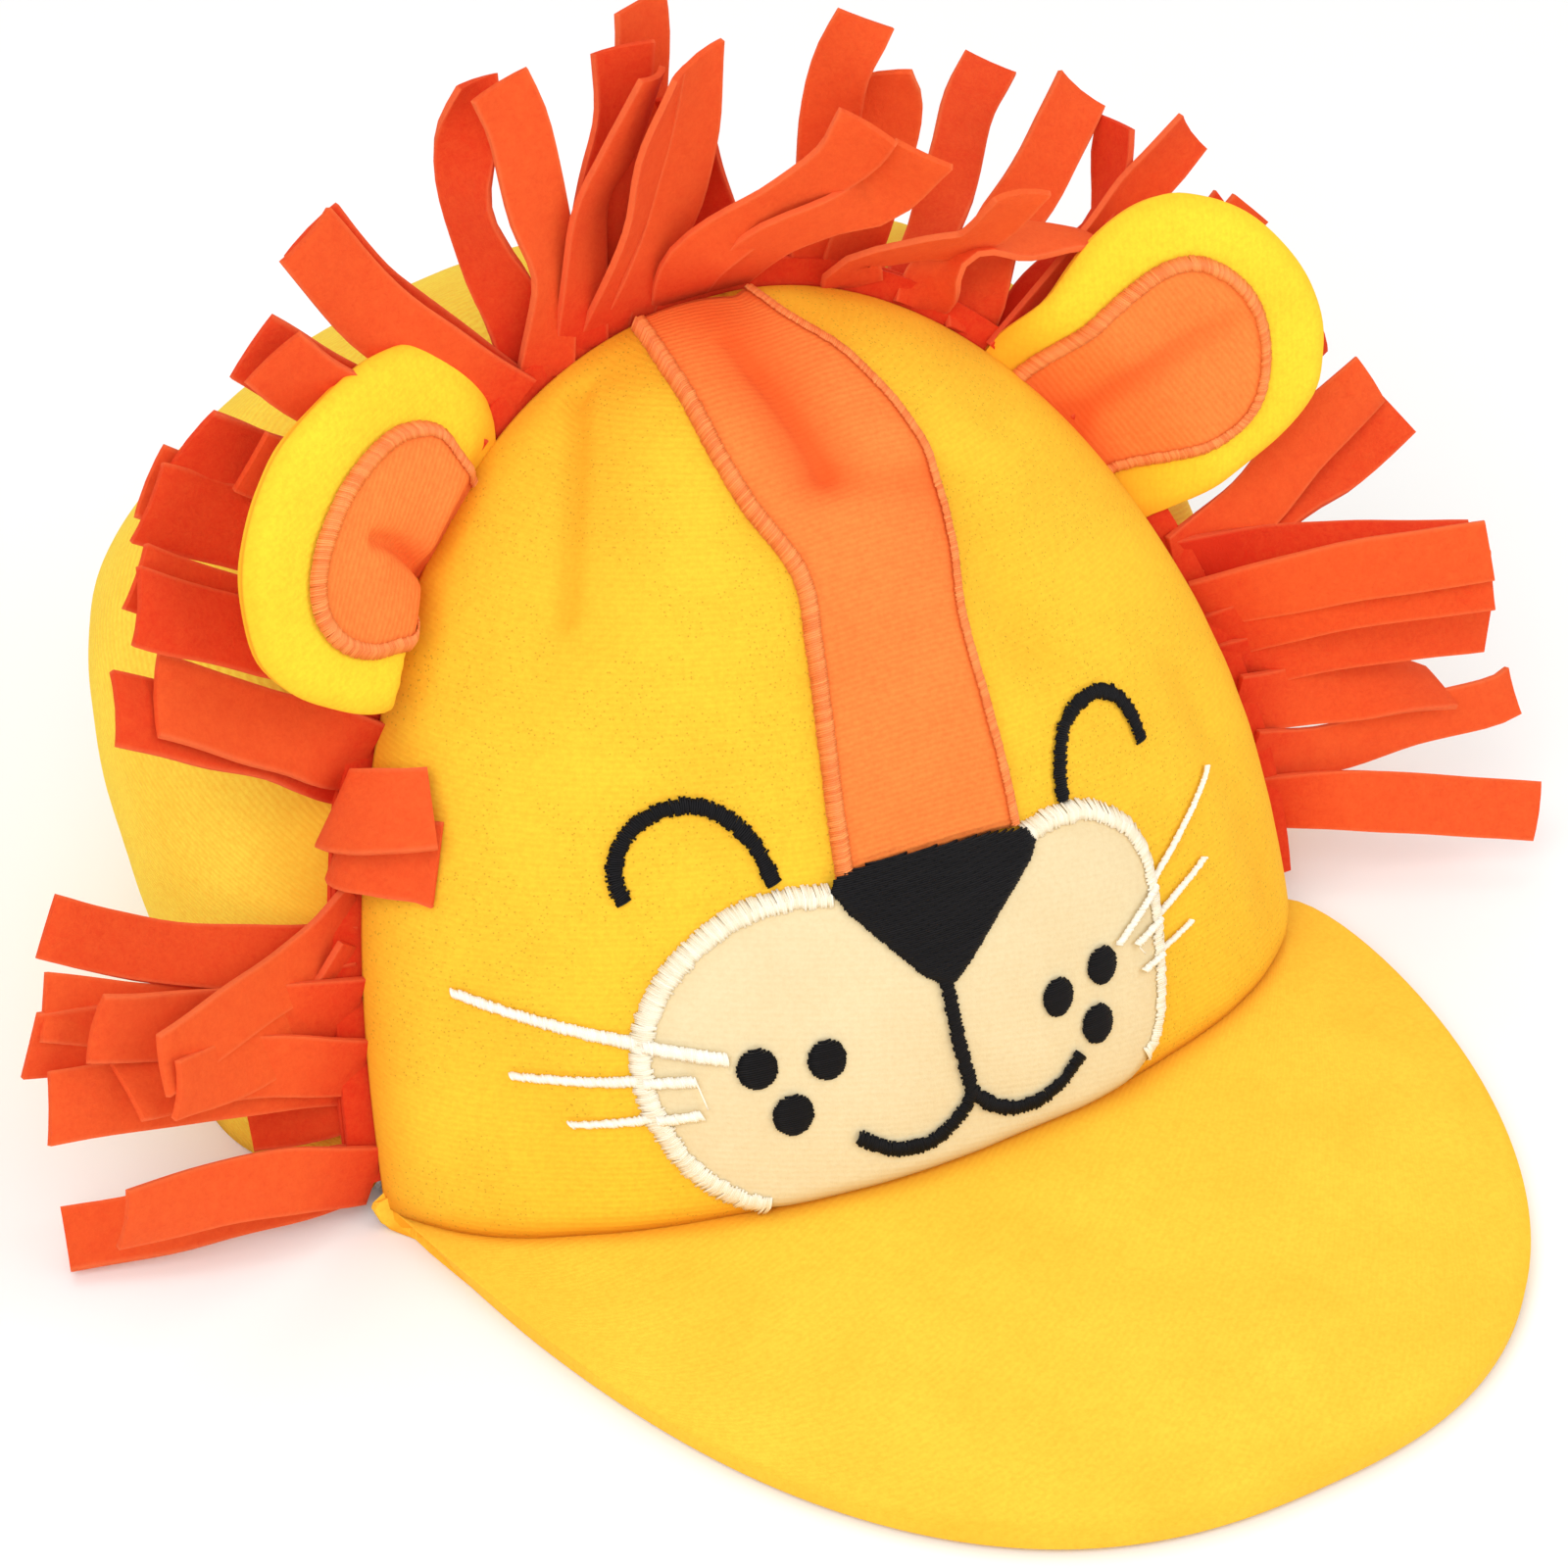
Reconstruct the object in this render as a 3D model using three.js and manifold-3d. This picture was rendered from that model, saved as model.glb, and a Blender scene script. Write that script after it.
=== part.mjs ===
// A child's soft peaked cap made up as a lion's face, with a mane of cut felt strips in the crown seam.
// Millimetres, +Z up. The face looks along -Y, and +X is the right-hand side of a viewer who faces it.
import * as THREE from 'three';
import { mergeVertices } from 'three/addons/utils/BufferGeometryUtils.js';
import Module from 'manifold-3d';

const wasm = await Module();
wasm.setup();

// Crown: the face panel lies in front of the mane seam and the full back panel behind it
const RIM_HALF_WIDTH = 82;
const CROWN_HEIGHT = 112;
const SEAM_LEAN = 38; // the top of the mane seam lies this far back
const SEAM_CURVE = 1.5; // and it curves back faster the higher it goes
const SEAM_FOOT_FORWARD = 9; // and its feet come this far forward
const LEFT_SHOULDER = 2.25; // squareness of the mane seam from the front
const RIGHT_SHOULDER = 1.98;
const FACE_DEPTH = 35; // the face bulges this far ahead of the mane seam
const FACE_PROFILE = 3.3; // squareness of the face from the side
const FACE_SECTION = 1.9; // and from above
const RIM_RAISE = 3; // the rim lifts this much at the middle of the peak
const BACK_RIM_SPREAD = 1.16; // widest part of the back over the width at the seam
const BACK_SPREAD = 1.3; // the same where the back is fullest
const BACK_RIM_DEPTH = 58;
const BACK_DEPTH = 80;
const BACK_FULL_AT = 0.6; // share of the height at which the back is fullest
const BACK_PROFILE = 1.75;
const RIM_SETTLE = { along: 0.35, power: 6 }; // how soon the back rim settles to the floor

// Cloth thicknesses and the gaps between pieces
const WALL = 2;
const FELT = 1.4;
const GAP = 0.35;
const APPLIQUE = 1;
const THREAD_RAISE = 0.8;
const PATCH_TOP = GAP + APPLIQUE;
const SECOND_LAYER = PATCH_TOP + GAP; // where embroidery on the muzzle starts
const HEADER = 3.2; // the felt header in the seam, front to back
const HEADER_INSIDE = 1.5; // how far the header reaches below the crown's outer face
const HEADER_OUTSIDE = 3.5; // and how far it stands out before the strips are cut free
const HEADER_REACH = 0.985; // it ends just above the feet of the seam
const STRIP_ROOT = 1.5; // the strips start this far outside the seam

// Peak, lining band and ears
const FLOOR = -3; // the back rim and the peak's sides rest this far below the foot of the mane seam
const PEAK_THICKNESS = 2.6;
const PEAK_HALF_WIDTH = 88.5;
const PEAK_LENGTH = 158; // from the middle of its outline to the tip
const PEAK_MIDDLE = { across: 5, back: 34 };
const PEAK_TURN = 1.8; // degrees that the soft cap lets the peak point to the right
const PEAK_SQUARENESS = 2.5;
const PEAK_ENDS = { left: 78, right: 79 }; // degrees round the outline where it meets the seam's feet
const PEAK_CORNER = 0.8; // how far its corners are drawn in towards the feet
const PEAK_CAMBER = 1; // the middle of the peak stands above its sides
const CLEARANCE_DEPTH = 9; // ears and mane are trimmed this deep below the crown's outer face
const SMALLEST_EDGE = 0.08; // cuts leave no detail finer than this
const PEAK_TUCK = 1.5; // the peak's edge reaches this far under the face panel's wall
const LINING_TOP = 17;
const LINING_THICKNESS = 1.2;
const EAR_WIDTH = 56;
const EAR_HEIGHT = 50;
const EAR_THICKNESS = 9;
const EAR_DISH = 2.5; // the ear's middle lies this far behind its edge
const EAR_MIDDLE = 22; // height of its widest part above the root
const EAR_PLUMP = 2.6; // how full the padding is towards the edge
const EAR_SEAT = 5.5; // the ear's middle sits this far in front of the mane seam
const EAR_PATCH_SHARE = 0.62; // size of the inner ear over the whole
const EAR_PATCH_DROP = 5; // and how much nearer the root it sits

// Appliqué borders on the face: degrees up the face's profile, 0 at the rim and 90 at the mane seam
const STRIPE_ROWS = [
  { rise: 14.6, left: -13, right: 17 },
  { rise: 25, left: -12, right: 15.5 },
  { rise: 34, left: -11, right: 15 },
  { rise: 42, left: -9.5, right: 17 },
  { rise: 51, left: -14, right: 17 },
  { rise: 60, left: -16, right: 15 },
  { rise: 70, left: -16, right: 10 },
  { rise: 80, left: -16, right: 5.5 },
  { rise: 89, left: -15, right: 3 },
];

// Outlines on the face as across and up from the middle of the rim
const MUZZLE = {
  middle: { across: -3, up: 22 },
  outline: [
    { across: -3, up: 42 }, { across: -15, up: 45 }, { across: -24, up: 48 }, { across: -34, up: 45.5 },
    { across: -43, up: 39 }, { across: -48, up: 29 }, { across: -48, up: 19 }, { across: -43, up: 10 },
    { across: -34, up: 5 }, { across: -18, up: 5 }, { across: 0, up: 6 }, { across: 20, up: 5.5 },
    { across: 33, up: 5.5 }, { across: 40, up: 12 }, { across: 42.5, up: 26 }, { across: 39.5, up: 39 },
    { across: 31, up: 46 }, { across: 21, up: 47.5 }, { across: 10, up: 44.5 },
  ],
};
const NOSE = {
  middle: { across: 0.5, up: 41 },
  outline: [
    { across: -17, up: 48 }, { across: -9, up: 48.8 }, { across: 0.5, up: 49 }, { across: 10, up: 48.3 },
    { across: 18.5, up: 46.5 }, { across: 16, up: 42 }, { across: 8, up: 34.5 }, { across: 0.5, up: 29.5 },
    { across: -7, up: 35.5 }, { across: -14, up: 43 },
  ],
};

// Embroidered lines on the face
const EYES = [
  { name: 'eye_left', middle: -35.5, foot: 50, radius: 10.5, height: 12.5 },
  { name: 'eye_right', middle: 35.5, foot: 48.5, radius: 9.8, height: 11.5 },
];
const EYE_LINE = 2.6;
const MOUTH = {
  top: { across: 0.5, up: 28.2 },
  fork: { across: 2.2, up: 13 },
  leftArc: [
    { across: -1, up: 9.5 }, { across: -7.5, up: 6.8 }, { across: -12.5, up: 7.3 }, { across: -17, up: 9.8 },
  ],
  rightArc: [
    { across: 6, up: 9.3 }, { across: 12, up: 7.2 }, { across: 17.5, up: 8.2 }, { across: 21.5, up: 12 },
  ],
};
const MOUTH_LINE = 2.4;
const SPOTS = [
  { name: 'spot_left_outer', across: -32, up: 24, radius: 2.9 },
  { name: 'spot_left_inner', across: -20.8, up: 23.4, radius: 2.9 },
  { name: 'spot_left_lower', across: -27, up: 16, radius: 2.9 },
  { name: 'spot_right_inner', across: 19, up: 21.3, radius: 2.7 },
  { name: 'spot_right_outer', across: 28, up: 22.4, radius: 2.7 },
  { name: 'spot_right_lower', across: 26, up: 14.4, radius: 2.7 },
];
const WHISKERS = [
  { name: 'whisker_left_upper', from: { across: -70, up: 37 }, to: { across: -36.5, up: 26.5 } },
  { name: 'whisker_left_middle', from: { across: -65, up: 26 }, to: { across: -41, up: 22.5 } },
  { name: 'whisker_left_lower', from: { across: -59, up: 18 }, to: { across: -40, up: 17.5 } },
  { name: 'whisker_right_upper', from: { across: 60, up: 40 }, to: { across: 32, up: 27 } },
  { name: 'whisker_right_middle', from: { across: 56, up: 29 }, to: { across: 35.5, up: 24 } },
  { name: 'whisker_right_lower', from: { across: 51, up: 20.5 }, to: { across: 37.5, up: 18 } },
];
const WHISKER_LINE = 1.5;

// Soft folds pressed into the face, each a valley between two places: millimetres across and degrees up
const FACE_FOLDS = [
  { from: { across: -5, rise: 82 }, to: { across: -1, rise: 53 }, halfWidth: 6, depth: 1.8 },
  { from: { across: -27, rise: 80 }, to: { across: -42, rise: 53 }, halfWidth: 9, depth: 1.6 },
  { from: { across: 20, rise: 50 }, to: { across: 25, rise: 30 }, halfWidth: 6, depth: 1.3 },
];
const RISE_LENGTH = 1.6; // millimetres along the face's profile for one degree up it

// Ears: place along the mane seam (-1 left foot, 0 top, 1 right foot), degrees that the front turns towards
// the middle, tips down and rolls outwards, and how deep the root sinks into the seam
const EARS = [
  { name: 'left', place: -0.445, turn: 32, tip: 2, roll: 0, sink: 4 },
  { name: 'right', place: 0.49, turn: -5, tip: 0, roll: 2, sink: 3 },
];

// Felt strips: place along the seam, layer (0 front, 1 back), lean along the seam and back in degrees,
// length and width in millimetres, bend of the strip over its length and twist at its tip in degrees
const STRIPS = [
  { place: -0.975, layer: 1, side: -3, back: 9, long: 51, wide: 9, bend: 0, twist: 0 },
  { place: -0.97, layer: 0, side: 4, back: 5, long: 38, wide: 9, bend: -10, twist: 0 },
  { place: -0.925, layer: 1, side: -1, back: 21, long: 46, wide: 9, bend: 0, twist: 0 },
  { place: -0.9, layer: 0, side: 8, back: 8, long: 37, wide: 8, bend: 0, twist: 10 },
  { place: -0.875, layer: 1, side: 0, back: 25, long: 46, wide: 9, bend: 0, twist: 0 },
  { place: -0.86, layer: 0, side: 2, back: 12, long: 40, wide: 8, bend: 8, twist: 0 },
  { place: -0.8, layer: 0, side: -35, back: -5, long: 33, wide: 8, bend: 30, twist: 0 },
  { place: -0.77, layer: 1, side: -11, back: 23, long: 44, wide: 8.5, bend: 0, twist: 0 },
  { place: -0.755, layer: 0, side: -44, back: -2, long: 38, wide: 8, bend: 32, twist: 0 },
  { place: -0.72, layer: 0, side: 95, back: -58, long: 20, wide: 10, bend: 35, twist: 15 },
  { place: -0.69, layer: 0, side: 105, back: -48, long: 17, wide: 10, bend: 35, twist: 20 },
  { place: -0.635, layer: 1, side: 5, back: 20, long: 39, wide: 9, bend: 0, twist: 0 },
  { place: -0.62, layer: 0, side: 6, back: 6, long: 35, wide: 9, bend: 0, twist: 0 },
  { place: -0.562, layer: 1, side: 2, back: 14, long: 38, wide: 9, bend: 0, twist: 0 },
  { place: -0.505, layer: 0, side: 0, back: 14, long: 43, wide: 8.5, bend: 0, twist: 0 },
  { place: -0.495, layer: 1, side: 2, back: 20, long: 44, wide: 8.5, bend: 0, twist: 0 },
  { place: -0.455, layer: 1, side: 2, back: 18, long: 39, wide: 8.5, bend: 0, twist: 0 },
  { place: -0.4, layer: 0, side: 7, back: 12, long: 38, wide: 8.5, bend: 0, twist: 0 },
  { place: -0.39, layer: 1, side: 0, back: 18, long: 36, wide: 8.5, bend: 0, twist: 0 },
  { place: -0.33, layer: 1, side: 0, back: 26, long: 35, wide: 8, bend: 0, twist: 0 },
  { place: -0.27, layer: 0, side: -13, back: 20, long: 41, wide: 9, bend: 10, twist: 10 },
  { place: -0.235, layer: 1, side: 30, back: 28, long: 45, wide: 8, bend: 16, twist: -25 },
  { place: -0.21, layer: 0, side: 27, back: 22, long: 45, wide: 8, bend: 14, twist: 20 },
  { place: -0.175, layer: 1, side: 46, back: 13, long: 44, wide: 7, bend: 10, twist: 70 },
  { place: -0.16, layer: 0, side: 34, back: 19, long: 45, wide: 8.5, bend: 0, twist: -30 },
  { place: -0.12, layer: 1, side: 34, back: 22, long: 46, wide: 8, bend: 0, twist: 20 },
  { place: -0.1, layer: 0, side: 33, back: 13, long: 41, wide: 8.5, bend: 0, twist: 15 },
  { place: -0.085, layer: 0, side: 60, back: -8, long: 46, wide: 8, bend: 16, twist: 10 },
  { place: -0.045, layer: 1, side: 45, back: 40, long: 23, wide: 8, bend: 0, twist: 0 },
  { place: -0.03, layer: 0, side: 58, back: -18, long: 43, wide: 8.5, bend: 14, twist: 0 },
  { place: 0.06, layer: 1, side: 41, back: 28, long: 42, wide: 8, bend: 10, twist: 0 },
  { place: 0.1, layer: 1, side: 24, back: 20, long: 34, wide: 8, bend: -20, twist: -10 },
  { place: 0.11, layer: 0, side: 56, back: -34, long: 44, wide: 8, bend: 30, twist: 60 },
  { place: 0.185, layer: 1, side: 27, back: 18, long: 38, wide: 8, bend: 10, twist: 0 },
  { place: 0.2, layer: 0, side: 30, back: -14, long: 28, wide: 8, bend: 10, twist: 40 },
  { place: 0.265, layer: 1, side: 21, back: 12, long: 42, wide: 8, bend: 0, twist: 0 },
  { place: 0.275, layer: 0, side: 18, back: -22, long: 22, wide: 8, bend: 0, twist: 20 },
  { place: 0.335, layer: 1, side: 0, back: 6, long: 38, wide: 8, bend: 6, twist: 0 },
  { place: 0.345, layer: 0, side: -18, back: -8, long: 15, wide: 8.5, bend: 0, twist: 0 },
  { place: 0.385, layer: 0, side: 4, back: 2, long: 42, wide: 8, bend: 10, twist: 30 },
  { place: 0.41, layer: 1, side: 2, back: 4, long: 43, wide: 8, bend: 10, twist: 0 },
  { place: 0.47, layer: 0, side: 8, back: 12, long: 44, wide: 8, bend: 0, twist: 0 },
  { place: 0.515, layer: 1, side: 5, back: 12, long: 45, wide: 8, bend: 0, twist: 0 },
  { place: 0.545, layer: 0, side: 6, back: 14, long: 44, wide: 8, bend: 0, twist: 0 },
  { place: 0.6, layer: 1, side: 11, back: 16, long: 46, wide: 8, bend: 0, twist: 0 },
  { place: 0.66, layer: 0, side: -15, back: -6, long: 43, wide: 8.5, bend: 0, twist: 0 },
  { place: 0.685, layer: 1, side: -12, back: -10, long: 45, wide: 8.5, bend: 0, twist: 0 },
  { place: 0.73, layer: 0, side: 2, back: -26, long: 47, wide: 8.5, bend: 0, twist: 0 },
  { place: 0.76, layer: 1, side: 8, back: -22, long: 46, wide: 8.5, bend: 0, twist: 0 },
  { place: 0.79, layer: 0, side: 0, back: -32, long: 42, wide: 8, bend: 0, twist: 0 },
  { place: 0.83, layer: 1, side: 6, back: -20, long: 35, wide: 8, bend: 0, twist: 20 },
  { place: 0.885, layer: 0, side: -14, back: -26, long: 44, wide: 8, bend: 8, twist: 15 },
  { place: 0.94, layer: 0, side: -3, back: -34, long: 44, wide: 9, bend: 0, twist: 0 },
];

// Mesh densities
const FACE_GRID = { rows: 16, columns: 28 };
const BACK_GRID = { rows: 12, columns: 28 };
const PEAK_GRID = { rows: 5, columns: 24 };
const LINING_STEPS = 20;
const BENT_STRIP_STEPS = 4;
const STRAIGHT_STRIP_STEPS = 1;
const ROW_SPACING = 0.95; // rows lie a little closer together near the rim
const INSIDE = 0.012; // directions at the very edge of a panel are taken this far inside it

const COLOURS = {
  yellow: '#ffd93b', felt: '#ff5a2a', orange: '#ff8c42', cream: '#f3e2bc', thread: '#1f1e21',
  white: '#fffaec',
};

const clampedPower = (base, power) => Math.max(base, 0) ** power;
const radians = THREE.MathUtils.degToRad;

// Point of the mane seam at a share of the crown's height, on the left (-1) or right (1)
function seamAt(up, side) {
  const shoulder = side < 0 ? LEFT_SHOULDER : RIGHT_SHOULDER;
  const halfWidth = RIM_HALF_WIDTH * clampedPower(1 - up ** shoulder, 1 / shoulder);
  const setBack = SEAM_LEAN * up ** SEAM_CURVE - SEAM_FOOT_FORWARD * (1 - up) ** 2;
  return { halfWidth, setBack };
}

// Share of the crown's height for an angle from the rim (0) to the top of the seam (a right angle)
const upOf = (angle) => Math.sin(angle) ** ROW_SPACING;

// Share of the height at which the mane seam passes over a place across the face
function seamOver(across) {
  const shoulder = across < 0 ? LEFT_SHOULDER : RIGHT_SHOULDER;
  return clampedPower(1 - (Math.abs(across) / RIM_HALF_WIDTH) ** shoulder, 1 / shoulder);
}

// Depth of the valleys at a place on the face
function foldDepth(across, up) {
  const share = THREE.MathUtils.clamp(up / Math.max(seamOver(across), 0.01), 0, 1);
  const rise = THREE.MathUtils.radToDeg(Math.asin(share ** (FACE_PROFILE / 2)));
  const flat = (spot) => new THREE.Vector2(spot.across, spot.rise * RISE_LENGTH);
  const place = flat({ across, rise });
  let depth = 0;
  for (const fold of FACE_FOLDS) {
    const from = flat(fold.from);
    const along = flat(fold.to).sub(from);
    const passed = THREE.MathUtils.clamp(place.clone().sub(from).dot(along) / along.lengthSq(), 0, 1);
    const away = place.distanceTo(from.addScaledVector(along, passed));
    depth += fold.depth * Math.exp(-((away / fold.halfWidth) ** 2));
  }
  return depth;
}

// Outer face of the face panel, before its folds, by turn (radians from the middle) and share of height
function plainFace(turn, up) {
  const side = Math.sign(turn) || 1;
  const seam = seamAt(up, side);
  const forward = FACE_DEPTH * clampedPower(1 - up ** FACE_PROFILE, 1 / FACE_PROFILE);
  return new THREE.Vector3(
    side * seam.halfWidth * Math.abs(Math.sin(turn)) ** (2 / FACE_SECTION),
    seam.setBack - forward * clampedPower(Math.cos(turn), 2 / FACE_SECTION),
    CROWN_HEIGHT * up + RIM_RAISE * (1 - up) ** 2 * Math.cos(turn) ** 2,
  );
}

// Outward direction of a surface at two parameters, from points just either side of it
function outward(surface, first, second, firstStep, secondStep) {
  const alongFirst = surface(first + firstStep, second).sub(surface(first - firstStep, second));
  const alongSecond = surface(first, second + secondStep).sub(surface(first, second - secondStep));
  return alongFirst.cross(alongSecond).normalize();
}

// A place on the face panel's outer face with its outward direction, lifted off it by `lift`
function facePoint(turn, up, lift = 0) {
  const edge = Math.PI / 2 - 2 * INSIDE;
  const inTurn = THREE.MathUtils.clamp(turn, -edge, edge);
  const inUp = THREE.MathUtils.clamp(up, INSIDE, 1 - INSIDE);
  const direction = outward(plainFace, inTurn, inUp, INSIDE / 2, INSIDE / 2);
  const point = plainFace(turn, up);
  const fade = THREE.MathUtils.smoothstep(Math.cos(turn), 0, 0.3)
    * THREE.MathUtils.smoothstep(1 - up, 0, 0.03);
  return point.addScaledVector(direction, lift - fade * foldDepth(point.x, up));
}

// The same by distance across and share of the height, which suits the pieces laid on the face
function faceAcross(across, up, lift) {
  const { halfWidth } = seamAt(up, Math.sign(across) || 1);
  const share = THREE.MathUtils.clamp(Math.abs(across) / halfWidth, 0, 1);
  return facePoint(Math.sign(across) * Math.asin(share ** (FACE_SECTION / 2)), up, lift);
}

// And by height, or by degrees up the face's profile
const faceAtHeight = ({ across, up }, lift) => faceAcross(across, up / CROWN_HEIGHT, lift);
const faceAtRise = (across, rise, lift) => faceAcross(
  across,
  seamOver(across) * Math.sin(radians(rise)) ** (2 / FACE_PROFILE),
  lift,
);

// The back rim's height: it settles from the foot of the mane seam to the floor
const rimDrop = (around) => (
  FLOOR * THREE.MathUtils.smoothstep(Math.sin(Math.PI * around), 0, RIM_SETTLE.along));

// Outer face of the back panel by place (0 at the right seam, 1 at the left) and share of height
function backPoint(around, up) {
  const full = THREE.MathUtils.smoothstep(up, 0, BACK_FULL_AT);
  const spread = THREE.MathUtils.lerp(BACK_RIM_SPREAD, BACK_SPREAD, full);
  const depth = THREE.MathUtils.lerp(BACK_RIM_DEPTH, BACK_DEPTH, full)
    * clampedPower(1 - up ** BACK_PROFILE, 1 / BACK_PROFILE);
  const start = Math.acos(1 / spread);
  const turn = THREE.MathUtils.lerp(-start, Math.PI + start, around);
  const seam = seamAt(up, Math.cos(turn));
  return new THREE.Vector3(
    spread * seam.halfWidth * Math.cos(turn),
    seam.setBack + HEADER + 2 * GAP + depth * (Math.sin(turn) + Math.sin(start)),
    CROWN_HEIGHT * up + rimDrop(around) * (1 - up) ** RIM_SETTLE.power,
  );
}

// Triangles of a closed body between an outer and an inner grid of points, leaving out those that
// have shrunk to a line where a row or column meets in one point
function bodyBetween(outer, inner, closed = false) {
  const rows = outer.length - 1;
  const columns = outer[0].length - 1;
  const positions = [];
  const triangle = (...corners) => {
    const [a, b, c] = corners;
    if (a.distanceTo(b) < 2e-3 || b.distanceTo(c) < 2e-3 || c.distanceTo(a) < 2e-3) return;
    corners.forEach((corner) => positions.push(corner.x, corner.y, corner.z));
  };
  const quad = (a, b, c, d) => {
    triangle(a, b, c);
    triangle(a, c, d);
  };
  for (let row = 0; row < rows; row += 1) {
    for (let column = 0; column < columns; column += 1) {
      const next = column + 1;
      quad(outer[row][column], outer[row][next], outer[row + 1][next], outer[row + 1][column]);
      quad(inner[row][column], inner[row + 1][column], inner[row + 1][next], inner[row][next]);
    }
  }
  for (let column = 0; column < columns; column += 1) {
    const next = column + 1;
    quad(outer[0][column], inner[0][column], inner[0][next], outer[0][next]);
    quad(outer[rows][column], outer[rows][next], inner[rows][next], inner[rows][column]);
  }
  for (let row = 0; row < rows && !closed; row += 1) {
    quad(outer[row][0], outer[row + 1][0], inner[row + 1][0], inner[row][0]);
    quad(outer[row][columns], inner[row][columns], inner[row + 1][columns], outer[row + 1][columns]);
  }
  const geometry = new THREE.BufferGeometry();
  geometry.setAttribute('position', new THREE.Float32BufferAttribute(positions, 3));
  return mergeVertices(geometry, 1e-3);
}

// Rows of points from a function of row and column shares
function gridOf(rows, columns, pointAt) {
  const shares = (count) => Array.from({ length: count + 1 }, (_, index) => index / count);
  return shares(rows).map((row) => shares(columns).map((column) => pointAt(row, column)));
}

// A mesh's geometry as a solid that can be joined and cut, and back
function solidOf(geometry) {
  const vertProperties = new Float32Array(geometry.attributes.position.array);
  const triVerts = new Uint32Array(geometry.index.array);
  return new wasm.Manifold(new wasm.Mesh({ numProp: 3, vertProperties, triVerts }));
}

function geometryOf(solid) {
  const mesh = solid.getMesh();
  const geometry = new THREE.BufferGeometry();
  geometry.setAttribute('position', new THREE.Float32BufferAttribute(mesh.vertProperties, 3));
  geometry.setIndex(Array.from(mesh.triVerts));
  return geometry;
}

const cap = new THREE.Group();

function addPiece(name, geometry, colour, roughness = 0.95) {
  const material = new THREE.MeshStandardMaterial({ color: colour, roughness, metalness: 0 });
  const piece = new THREE.Mesh(geometry, material);
  piece.name = name;
  cap.add(piece);
}

// Face panel: a cloth wall from the peak seam to the mane seam
function facePanel(outerLift, innerLift) {
  const layer = (lift) => gridOf(FACE_GRID.rows, FACE_GRID.columns, (row, column) => {
    const point = facePoint((column - 0.5) * Math.PI, upOf(row * Math.PI / 2), lift);
    if (row === 0) point.z = plainFace((column - 0.5) * Math.PI, 0).z;
    return point;
  });
  return bodyBetween(layer(outerLift), layer(innerLift));
}

// A place on the back panel's outer face, lifted off it by `lift`
function backLayerPoint(around, up, lift) {
  const inUp = THREE.MathUtils.clamp(up, INSIDE, 1 - INSIDE);
  const inAround = THREE.MathUtils.clamp(around, INSIDE / 2, 1 - INSIDE / 2);
  const direction = outward(backPoint, inAround, inUp, INSIDE / 4, INSIDE / 2);
  return backPoint(around, up).addScaledVector(direction, lift);
}

function backPanel(outerLift, innerLift) {
  const layer = (lift) => gridOf(BACK_GRID.rows, BACK_GRID.columns, (row, column) => {
    const point = backLayerPoint(column, upOf(row * Math.PI / 2), lift);
    if (row === 0) point.z = rimDrop(column);
    return point;
  });
  return bodyBetween(layer(outerLift), layer(innerLift));
}

// Frame of the mane seam at a place from -1 (left foot) over the top to 1 (right foot)
function seamFrame(place) {
  const pointAt = (at) => {
    const up = upOf((1 - Math.abs(at)) * Math.PI / 2);
    const { halfWidth, setBack } = seamAt(up, at);
    return new THREE.Vector3(Math.sign(at) * halfWidth, setBack, CROWN_HEIGHT * up);
  };
  const along = pointAt(place + 0.004).sub(pointAt(place - 0.004)).setY(0).normalize();
  const back = new THREE.Vector3(0, 1, 0);
  return { point: pointAt(place), along, back, out: along.clone().cross(back) };
}

// One felt strip, rooted in the header and bending away from the seam
function feltStrip({ place, layer, side, back, long, wide, bend, twist }) {
  const frame = seamFrame(place);
  const leaning = (lean) => frame.out.clone().multiplyScalar(Math.cos(radians(lean)))
    .addScaledVector(frame.along, Math.sin(radians(lean)))
    .multiplyScalar(Math.cos(radians(back)))
    .addScaledVector(frame.back, Math.sin(radians(back)));
  const root = frame.point.clone().addScaledVector(frame.out, STRIP_ROOT)
    .addScaledVector(frame.back, GAP + HEADER * (0.25 + 0.5 * layer));
  const tip = root.clone().addScaledVector(leaning(side), long);
  const middle = root.clone().addScaledVector(leaning(side - bend), long / 2);
  const path = new THREE.QuadraticBezierCurve3(root, middle, tip);
  const steps = bend || twist ? BENT_STRIP_STEPS : STRAIGHT_STRIP_STEPS;
  const corners = gridOf(steps, 1, (share) => {
    const forward = path.getTangent(share);
    const across = frame.along.clone().addScaledVector(forward, -frame.along.dot(forward)).normalize()
      .applyAxisAngle(forward, radians(twist * share));
    return { centre: path.getPoint(share), across, through: forward.clone().cross(across) };
  });
  const face = (toward) => corners.map(([{ centre, across, through }]) => [-0.5, 0.5].map(
    (share) => centre.clone()
      .addScaledVector(across, share * wide)
      .addScaledVector(through, toward * FELT / 2),
  ));
  return solidOf(bodyBetween(face(-1), face(1)));
}

// The header: a felt band that stands in the crown seam, lifted clear of the rim's lowest edge
function maneHeader() {
  const layer = (depth) => gridOf(1, 32, (row, column) => {
    const frame = seamFrame((2 * column - 1) * HEADER_REACH);
    return frame.point.addScaledVector(frame.out, THREE.MathUtils.lerp(-HEADER_INSIDE, HEADER_OUTSIDE, row))
      .addScaledVector(frame.back, depth);
  });
  return solidOf(bodyBetween(layer(GAP), layer(GAP + HEADER)));
}

// Crown's outside as a thick body, larger by `clear`, for trimming what rests on it
function crownClearance(clear, thickness) {
  return solidOf(facePanel(clear, -thickness)).add(solidOf(backPanel(clear, -thickness)));
}

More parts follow.
